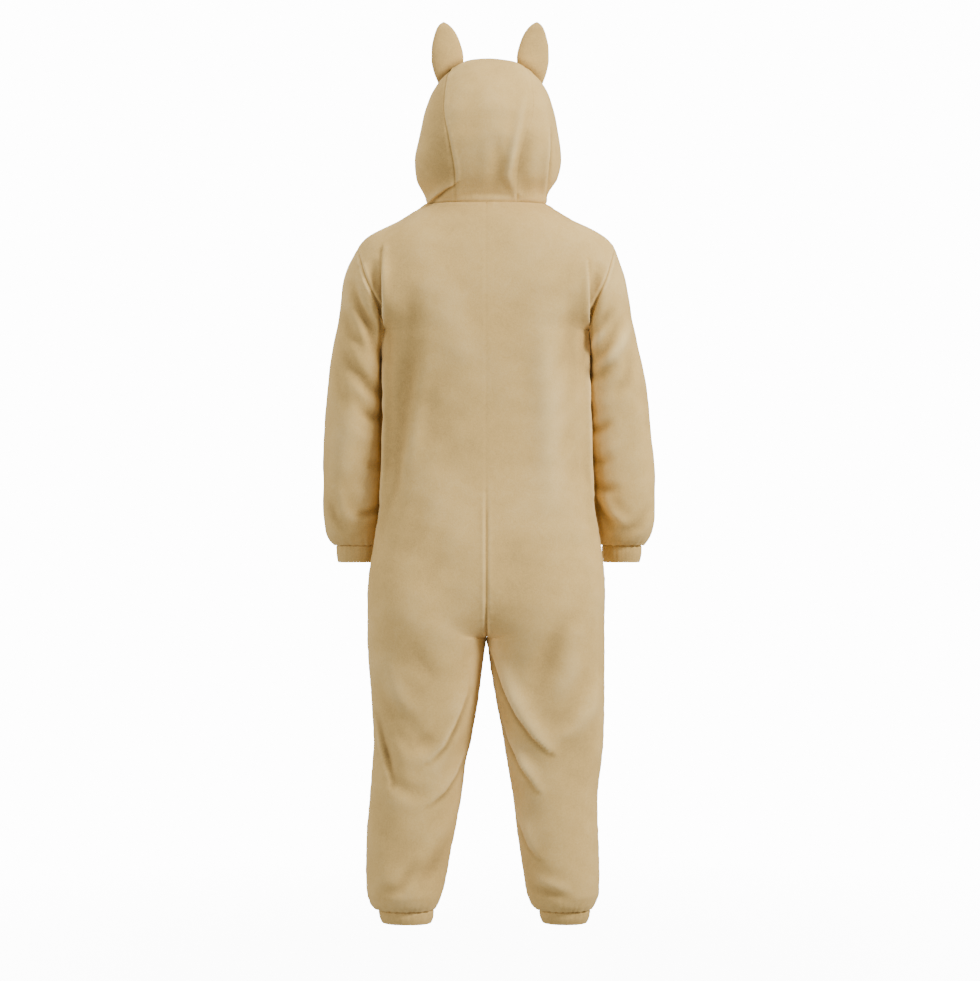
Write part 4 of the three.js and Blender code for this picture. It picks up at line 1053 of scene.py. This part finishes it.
def wallMesh(item):
    outer, inner = layers(item)
    shift, ring, lift = len(outer), item["closed"], item["lift"].reshape(-1)
    index = ringed(np.arange(shift).reshape(item["grid"].shape[:2]), ring)
    quads = np.stack(cellCorners(index), -1).reshape(-1, 4)
    points, faces, shade = [outer, inner], [quads, quads[:, ::-1] + shift], [lift, lift]
    made = 2 * shift
    for name, edge, inside, way in borderParts(item, index):
        if ring:
            edge, inside = edge[:-1], inside[:-1]
        levels = [edge]
        if name not in item["seams"]:
            normal = item["normals"].reshape(-1, 3)[edge]
            for line in roundEdge(outer, inner, edge, inside, normal, item["wall"]):
                points.append(line)
                shade.append(lift[edge])
                levels.append(np.arange(made, made + len(edge)))
                made += len(edge)
        levels.append(edge + shift)
        for upper, lower in zip(levels, levels[1:]):
            upper, lower = ((np.append(x, x[0]) if ring else x) for x in (upper, lower))
            strip = np.stack([upper[1:], upper[:-1], lower[:-1], lower[1:]], -1)
            faces.append(strip if way > 0 else strip[:, ::-1])
    ending = "_woven" if item["slot"] == "zip_tape" else "_plush"
    points, faces = np.concatenate(points), np.concatenate(faces).tolist()
    obj = addMesh(item["name"] + ending, points, faces, item["slot"], sharp=50)
    # the painted shade and light that the plush's colour reads
    attribute = obj.data.attributes.new("foldLiftAndPaintedShade", "FLOAT", "POINT")
    attribute.data.foreach_set("value", np.concatenate(shade).astype(np.float32))
    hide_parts(item["name"])
    width, length = item["flat"]
    min(item["area"], 0.999 * width * length)


def findItem(items, name):
    return next(item for item in items if item["name"] == name)


def readLine(at, along, points):
    return np.stack([np.interp(at, along, points[:, axis]) for axis in range(3)], -1)


def lineInside(item, border, distance):
    # the line on a piece that runs beside one border at a distance
    grid, normals = item["grid"], item["normals"]
    away = borderDistance(item, [border])
    if border in ("top", "bottom"):
        grid, normals, away = grid.swapaxes(0, 1), normals.swapaxes(0, 1), away.T
    places, ways = [], []
    for points, facing, far in zip(grid, normals, away):
        order = np.argsort(far)
        places.append(readLine(distance, far[order], points[order]))
        ways.append(readLine(distance, far[order], facing[order]))
    return np.array(places), unit(np.array(ways))


def walkLine(points, normals, pitch, start):
    # even steps along a line: place, way along it and normal at each
    lengths = np.linalg.norm(np.diff(points, axis=0), axis=1)
    along = np.concatenate([[0], np.cumsum(lengths)])
    at = np.arange(start, along[-1], pitch)
    ahead, behind = (readLine(np.clip(at + step, 0, along[-1]), along, points) for step in (0.5, -0.5))
    way = unit(ahead - behind)
    normal = readLine(at, along, normals)
    normal = normal - way * np.sum(normal * way, axis=1, keepdims=True)
    return readLine(at, along, points), way, unit(normal)


def addSolids(name, places, ways, normals, profiles, material):
    # one small solid at every place: closed rings of (along, across, out), with capped ends
    rings = np.array(profiles, float)
    count, sides = rings.shape[:2]
    side = np.cross(normals, ways)
    local = rings.reshape(-1, 3)
    points = places[:, None] + local[None, :, :1] * ways[:, None]
    points = points + local[None, :, 1:2] * side[:, None] + local[None, :, 2:] * normals[:, None]
    faces = []
    for ring in range(count - 1):
        for k in range(sides):
            a, b = ring * sides + k, ring * sides + (k + 1) % sides
            faces.append([a, b, b + sides, a + sides])
    faces += [list(range(sides))[::-1], list(range((count - 1) * sides, count * sides))]
    size = count * sides
    every = [[v + size * i for v in face] for i in range(len(places)) for face in faces]
    return addMesh(name, points, every, material, sharp=42, turnOut=True)


stitch = {
    "length": 2.7, "pitch": 3.7, "radius": 0.42, "sink": 0.1, "from": 2.0, "sides": 6,
    # place along it, size and height, as parts of the half length and the radius
    "levels": [(-1, 0.35, -0.5), (-0.8, 0.85, -0.1), (0, 1, 0.15), (0.8, 0.85, -0.1), (1, 0.35, -0.5)],
}


def stitchProfile():
    half, radius, sides = stitch["length"] / 2, stitch["radius"], stitch["sides"]
    turn = [2 * math.pi * k / sides for k in range(sides)]
    return [[(along * half, radius * size * math.cos(a), radius * (size * math.sin(a) + out)) for a in turn]
            for along, size, out in stitch["levels"]]


def sewLine(name, places, normals):
    place, way, normal = walkLine(places, normals, stitch["pitch"], stitch["from"])
    addSolids(name, place - normal * stitch["sink"], way, normal, stitchProfile(), "thread")


# Shader maths: a socket that can be used in Python expressions.
class Wire:
    def __init__(self, tree, socket):
        self.tree, self.socket = tree, socket

    def maths(self, operation, *values):
        node = self.tree.nodes.new("ShaderNodeMath")
        node.operation = operation
        for place, value in enumerate(values):
            plug(self.tree, node.inputs[place], value)
        return Wire(self.tree, node.outputs[0])

    def __add__(self, other): return self.maths("ADD", self, other)
    def __radd__(self, other): return self.maths("ADD", other, self)
    def __sub__(self, other): return self.maths("SUBTRACT", self, other)
    def __rsub__(self, other): return self.maths("SUBTRACT", other, self)
    def __mul__(self, other): return self.maths("MULTIPLY", self, other)
    def __rmul__(self, other): return self.maths("MULTIPLY", other, self)
    def __truediv__(self, other): return self.maths("DIVIDE", self, other)
    def clamped(self, low, high): return self.maths("MINIMUM", self.maths("MAXIMUM", self, low), high)


def plug(tree, socket, value):
    if isinstance(value, Wire):
        tree.links.new(value.socket, socket)
    else:
        socket.default_value = value


class Shader:
    def __init__(self, name):
        self.material = bpy.data.materials.new(name)
        self.material.use_nodes = True
        self.tree = self.material.node_tree
        self.surface = self.tree.nodes["Principled BSDF"]

    def node(self, kind, settings, output=0, **inputs):
        made = self.tree.nodes.new("ShaderNode" + kind)
        for key, value in settings.items():
            setattr(made, key, value)
        for key, value in inputs.items():
            place = int(key[1:]) if key[0] == "_" else key.replace("_", " ")
            plug(self.tree, made.inputs[place], value)
        return Wire(self.tree, made.outputs[output])

    def set(self, **inputs):
        for key, value in inputs.items():
            plug(self.tree, self.surface.inputs[key.replace("_", " ")], value)

    def noise(self, where, scale, detail, **more):
        return self.node("TexNoise", {}, 0, Vector=where, Scale=scale, Detail=detail, **more)

    def mix(self, factor, first, second):
        return self.node("Mix", {"data_type": "RGBA"}, 2, _0=factor, _6=first, _7=second)

    def place(self):
        return self.node("TexCoord", {}, 3)


plushLook = {
    "deep": (0.27, 0.168, 0.058), "middle": (0.67, 0.454, 0.163), "light": (0.9, 0.68, 0.33),
    "sheen": 0.32, "sheenRoughness": 0.38, "roughness": 0.95, "sheenTint": (1.0, 0.78, 0.4, 1),
    "tone": 0.52, "paintedShadeTone": 0.026, "napTone": 0.26, "brushedTone": 0.2, "tuftTone": 0.3,
    "napScale": 7.0, "brushedScale": 38.0, "tuftScale": 330.0, "fibreScale": 1500.0,
    "bump": 0.3, "bumpHeight": 0.0014,
}


def makePlush(name, look, brightness=1.0):
    shader = Shader(name)
    where = shader.place()
    nap = shader.noise(where, look["napScale"], 3.0, Roughness=0.55, Distortion=0.8)
    brushed = shader.noise(where, look["brushedScale"], 4.0, Roughness=0.6, Distortion=1.4)
    tuft = shader.noise(where, look["tuftScale"], 3.0, Roughness=0.65)
    fibre = shader.noise(where, look["fibreScale"], 2.0, Roughness=0.6)
    # painted shade and light from the folds, creases, seams and pieces, added to the tone: darker in troughs and
    # grooves, lighter on ridges and rims
    lift = shader.node("Attribute", {"attribute_name": "foldLiftAndPaintedShade"}, 2)
    mottle = (nap - 0.5) * look["napTone"] + (brushed - 0.5) * look["brushedTone"]
    mottle = mottle + (tuft - 0.5) * look["tuftTone"]
    tone = (look["tone"] + mottle + lift * look["paintedShadeTone"]).clamped(0.0, 1.0)
    dark, middle, light = (
        tuple(v * brightness for v in look[key]) + (1,) for key in ("deep", "middle", "light"))
    low = shader.mix((tone * 2.0).clamped(0.0, 1.0), dark, middle)
    colour = shader.mix((tone * 2.0 - 1.0).clamped(0.0, 1.0), low, light)
    height = tuft * 0.75 + fibre * 0.35 + brushed * 0.5
    bump = shader.node("Bump", {}, 0, Strength=look["bump"], Distance=look["bumpHeight"], Height=height)
    shader.set(Base_Color=colour, Normal=bump, Roughness=look["roughness"])
    shader.set(Sheen_Weight=look["sheen"], Sheen_Roughness=look["sheenRoughness"])
    shader.set(Sheen_Tint=look["sheenTint"], Specular_IOR_Level=0.05)
    return shader.material


def makeTape():
    shader = Shader("zipTape")
    where = shader.place()
    weave, cross = (
        shader.node("TexWave", {"wave_type": "BANDS", "bands_direction": way}, 0, Vector=where, Scale=scale)
        for way, scale in (("Z", 260.0), ("X", 330.0)))
    thread = weave * 0.5 + cross * 0.5
    colour = shader.mix(thread, (0.36, 0.25, 0.115, 1), (0.52, 0.375, 0.18, 1))
    bump = shader.node("Bump", {}, 0, Strength=0.5, Distance=0.0004, Height=thread)
    shader.set(Base_Color=colour, Normal=bump, Roughness=0.8, Specular_IOR_Level=0.2)
    return shader.material


def makeTeeth():
    shader = Shader("zipTeeth")
    speck = shader.noise(shader.place(), 420.0, 2.0)
    colour = shader.mix(speck, (0.38, 0.27, 0.13, 1), (0.5, 0.37, 0.19, 1))
    shader.set(Base_Color=colour, Roughness=0.38 + (speck - 0.5) * 0.2)
    return shader.material


def makeMetal():
    shader = Shader("zipMetal")
    wear = shader.noise(shader.place(), 260.0, 4.0)
    scratch = shader.noise(shader.place(), 1400.0, 2.0, Distortion=2.0)
    colour = shader.mix(wear, (0.46, 0.44, 0.4, 1), (0.62, 0.6, 0.56, 1))
    bump = shader.node("Bump", {}, 0, Strength=0.12, Distance=0.0002, Height=scratch)
    shader.set(Base_Color=colour, Metallic=1.0, Roughness=0.3 + wear * 0.2, Normal=bump)
    return shader.material


def makeThread():
    shader = Shader("sewingThread")
    twist = shader.noise(shader.place(), 2200.0, 1.0)
    shader.set(Base_Color=shader.mix(twist, (0.44, 0.29, 0.12, 1), (0.6, 0.4, 0.18, 1)), Roughness=0.7)
    return shader.material


def makeFloor():
    shader = Shader("paleFloor")
    cloud = shader.noise(shader.place(), 0.7, 1.0)
    shader.set(Base_Color=shader.mix(cloud, (0.87, 0.87, 0.865, 1), (0.9, 0.9, 0.895, 1)), Roughness=0.9)
    # the floor thins out into the white room away from the middle
    away = shader.node("VectorMath", {"operation": "LENGTH"}, 1, _0=shader.place())
    shader.set(Alpha=((studio["floorReach"] - away) * studio["floorThins"]).clamped(0.0, studio["floorPart"]))
    return shader.material


materials = {
    "plush": makePlush("tanPlush", plushLook),
    "band": makePlush("bandPlush", plushLook, 0.96),
    "zip_tape": makeTape(),
    "zip_teeth": makeTeeth(),
    "zip_metal": makeMetal(),
    "thread": makeThread(),
}
print("materials made")


# The inside of a piece, which its outer face looks away from: an upright line at x and y, seen
# from a place that much lower.
middles = {
    "sleeve": (265, -40, 60), "ankle_cuff": (155, 0, 0), "wrist_cuff": (264, -72, 0),
    "leg": 150, "trunkDrop": 40, "head": (0, -12, 100),
}


def lineCore(x, y, drop):
    def core(middle):
        still, z = 0 * middle[..., 0], middle[..., 2]
        return np.stack([x + still, y + still, z - drop], -1)
    return core


def trunkCore(side):
    def core(middle):
        still, z = 0 * middle[..., 0], middle[..., 2]
        x = np.where(z < body["crotchZ"], side * middles["leg"], 0.0)
        return np.stack([x, still, z - middles["trunkDrop"]], -1)
    return core


def headCore(middle):
    return np.array(middles["head"]) + 0 * middle


def makeSkin():
    items, seams, panels = [], {}, {}
    along, topCount = hoodAlong()
    for side in (1, -1):
        name = sideName(side)

        def add(kind, grid, core, seamed, **more):
            items.append(makePiece(f"{kind}_{name}", grid, cloth["wall"], core, "plush", seamed, **more))

        def addRing(kind, grid, seamed, wall, slot, held):
            x, y, drop = middles[kind]
            core = lineCore(side * x, y, drop)
            items.append(makePiece(f"{kind}_{name}", grid, wall, core, slot, seamed, closed=True, held=held))

        back, front = panels[side] = panelGrid(side, 1), panelGrid(side, -1)
        sleeve = sleeveGrid(side, back, front)
        ankle = bandGrid(ankleForm, side, np.concatenate([back[-1], front[-1, -2:0:-1]]))
        add("back", back, trunkCore(side), ["top", "bottom", "first", "last"])
        add("front", front, trunkCore(side), ["top", "bottom", "last"])
        addRing("sleeve", sleeve, ["top", "bottom"], cloth["wall"], "plush", "hung")
        for kind, grid in (("ankle_cuff", ankle), ("wrist_cuff", bandGrid(wristForm, side, sleeve[-1]))):
            addRing(kind, grid, ["top"], cloth["bandWall"], "band", "gathered")
        neckLine = np.concatenate([front[0, :neckCount + 1], back[0, stripCount:neckCount][::-1]])
        seams[side] = crownSeam(side, along, neckLine[-1])
        hoodSide = hoodSideGrid(side, seams[side], topCount, neckLine)
        add("hood", hoodSide, headCore, ["top", "bottom", "last"], held="draped", hem=["first"])
    neckRow = np.concatenate([panels[-1][0][0, 1:stripCount + 1][::-1], panels[1][0][0, :stripCount + 1]])
    strip = stripGrid(seams, along, neckRow)
    items.append(makePiece("hood_centre", strip, cloth["wall"], headCore, "plush",
                           ["bottom", "first", "last"], held="draped", hem=["top"]))
    return items


def makeEars():
    items = []
    for side in (1, -1):
        middleX = side * (earForm["middleX"] + (0 if side > 0 else earForm["rightShift"]))

        def ground(points, side=side):
            return crownHeight(side, points[:, 0], points[:, 1]) + earForm["seat"]

        for face, leaf in ((1, "back"), (-1, "front")):
            item = makePiece(f"ear_{sideName(side)}_{leaf}", earGrid(side, face), cloth["earWall"],
                             lineCore(middleX, earForm["y"], 0), "plush", ["first", "last", "bottom"])
            items.append({**item, "ground": ground, "leaf": face})
    return items


skin = makeSkin()
dressSkin(skin)
for item in skin:
    wallMesh(item)
print("suit and hood made")

ears = makeEars()
dressSkin(ears, creased=False)
for item in ears:
    wallMesh(item)
print("ears made")


for name, start in (("hood_centre", "hood"), ("hood_left", "hood_left"), ("hood_right", "hood_right")):
    item = findItem(skin, name)
    sewLine(start + "_hem_stitches", *lineInside(item, item["hem"][0], cloth["hem"]))


def zipEdge(item):
    return "first" if "first" not in item["seams"] else "last"


def zipRun(item):
    # the middle of the zip, from the neck down, level with the front's edges
    points = item["grid"][:, 0 if zipEdge(item) == "first" else -1] * [0, 1, 1]
    points = points[points[:, 2] > zipForm["endZ"] - zipForm["runOn"]]
    way, rows = np.gradient(points, axis=0), zipForm["slopeRows"]
    slope = np.pad(way[:, 1] / np.abs(way[:, 2]), rows // 2, "edge")
    slope = np.convolve(slope, np.full(rows, 1 / rows), "valid")
    return points, unit(np.stack([0 * slope, 0 * slope - 1, -slope], -1))


def tapeItem(side, points, normals):
    across = np.linspace(zipForm["tapeFrom"], zipForm["tapeWidth"], 9)
    base = points - normals * zipForm["tapeDepth"]
    wave = zipForm["tapeWave"] * np.sin(points[:, 2] / zipForm["waveLength"])
    grid = base[:, None] + across[None, :, None] * [side, 0, 0]
    grid = grid - normals[:, None] * (wave[:, None] * (across / zipForm["tapeWidth"])[None] ** 2)[..., None]
    item = makePiece(f"zip_tape_{sideName(side)}", grid, zipForm["tapeWall"],
                     lambda middle: middle * [1, 0, 1], "zip_tape", [])
    item["lift"] = np.zeros(grid.shape[:2])
    item["normals"] = skinNormals([item])[0]
    return item


def toothProfile(side):
    return [[(a * size, side * (c * size + zipForm["toothMiddle"] * (1 - size)), out)
             for a, c in zipForm["toothOutline"]] for size, out in zipForm["toothLevels"]]


def sewZip(item):
    places, normals = lineInside(item, zipEdge(item), zipForm["stitchFrom"])
    upper = places[:, 2] > zipForm["endZ"] - 2
    sewLine(item["name"] + "_zip_stitches", places[upper], normals[upper])


def makeZip():
    points, normals = zipRun(findItem(skin, "front_left"))
    for side in (1, -1):
        wallMesh(tapeItem(side, points, normals))
    depth = zipForm["chainDepth"] + zipForm["chainWall"] / 2
    closed = points[:, 2] > zipForm["endZ"] - 1
    line = (points - normals * depth)[closed]
    place, way, normal = walkLine(line, normals[closed], zipForm["toothPitch"], zipForm["chainTopDrop"])
    for side in (1, -1):
        shift = way * (zipForm["toothPitch"] / 4 * side)
        obj = addSolids(f"zip_teeth_{sideName(side)}", place + shift, way, normal, toothProfile(side),
                        "zip_teeth")
        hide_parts("zip_chain")


makeZip()
for name in ("front_left", "front_right"):
    sewZip(findItem(skin, name))
for name in ("zip_slider", "zip_pull"):
    bpy.data.objects[name].data.materials.clear()
    bpy.data.objects[name].data.materials.append(materials["zip_metal"])
print("zip made")


studio = {
    "photoPixels": 980, "millimetresAPixel": 1.98, "distance": 6000, "middlePixelX": 490,
    "middlePixelY": 490.5, "originPixelX": 486.5, "originPixelY": 205, "sensor": 36, "floorZ": -1491,
    "seenWhite": 14.0, "softLight": 0.36, "floorPart": 0.16, "floorReach": 1.7,
    "floorThins": 0.14, "floorSize": 12, "aimZ": -0.45, "lightColour": (1.0, 0.97, 0.9),
    # name, place in metres, size in metres, watts
    "lights": [
        ("key", (-3.4, 2.3, 1.6), 1.2, 290),
        ("fill", (3.0, 3.0, 0.2), 1.8, 76),
        ("top", (0.2, 0.5, 2.7), 2.0, 56),
        ("front", (1.2, -4.0, 0.8), 2.2, 110),
        ("rimLeft", (3.4, -1.4, 0.2), 1.4, 40),
        ("rimRight", (-3.4, -1.4, 0.2), 1.4, 40),
    ],
}


def makeWorld():
    # a white room: what the camera sees of it is plain white, and what it gives is soft
    world = bpy.data.worlds.new("studio")
    bpy.context.scene.world = world
    world.use_nodes = True
    tree = world.node_tree
    seen = tree.nodes.new("ShaderNodeLightPath")
    strength = Wire(tree, seen.outputs["Is Camera Ray"]) * (studio["seenWhite"] - studio["softLight"])
    room = tree.nodes["Background"]
    room.inputs["Color"].default_value = (1, 1, 1, 1)
    plug(tree, room.inputs["Strength"], strength + studio["softLight"])


def makeStudio():
    scale = studio["millimetresAPixel"]
    x = (studio["originPixelX"] - studio["middlePixelX"]) * scale
    z = (studio["originPixelY"] - studio["middlePixelY"]) * scale
    camera = bpy.data.cameras.new("photoCamera")
    camera.sensor_width = studio["sensor"]
    camera.lens = studio["sensor"] * studio["distance"] / (studio["photoPixels"] * scale)
    holder = bpy.data.objects.new("photoCamera", camera)
    holder.location = Vector((x, studio["distance"], z)) * toMetres
    holder.rotation_euler = (math.radians(90), 0, math.radians(180))
    bpy.context.scene.collection.objects.link(holder)
    bpy.context.scene.camera = holder
    bpy.ops.mesh.primitive_plane_add(size=studio["floorSize"], location=(0, 0, studio["floorZ"] * toMetres))
    floor = bpy.context.object
    floor.name = "floor"
    floor.data.materials.append(makeFloor())
    for name, place, size, power in studio["lights"]:
        light = bpy.data.lights.new(name, "AREA")
        light.size = size
        light.energy = power
        light.color = studio["lightColour"]
        lamp = bpy.data.objects.new(name, light)
        lamp.location = place
        aim = Vector((0, 0, studio["aimZ"])) - Vector(place)
        lamp.rotation_euler = aim.to_track_quat("-Z", "Y").to_euler()
        bpy.context.scene.collection.objects.link(lamp)


makeWorld()
makeStudio()
print("studio made")
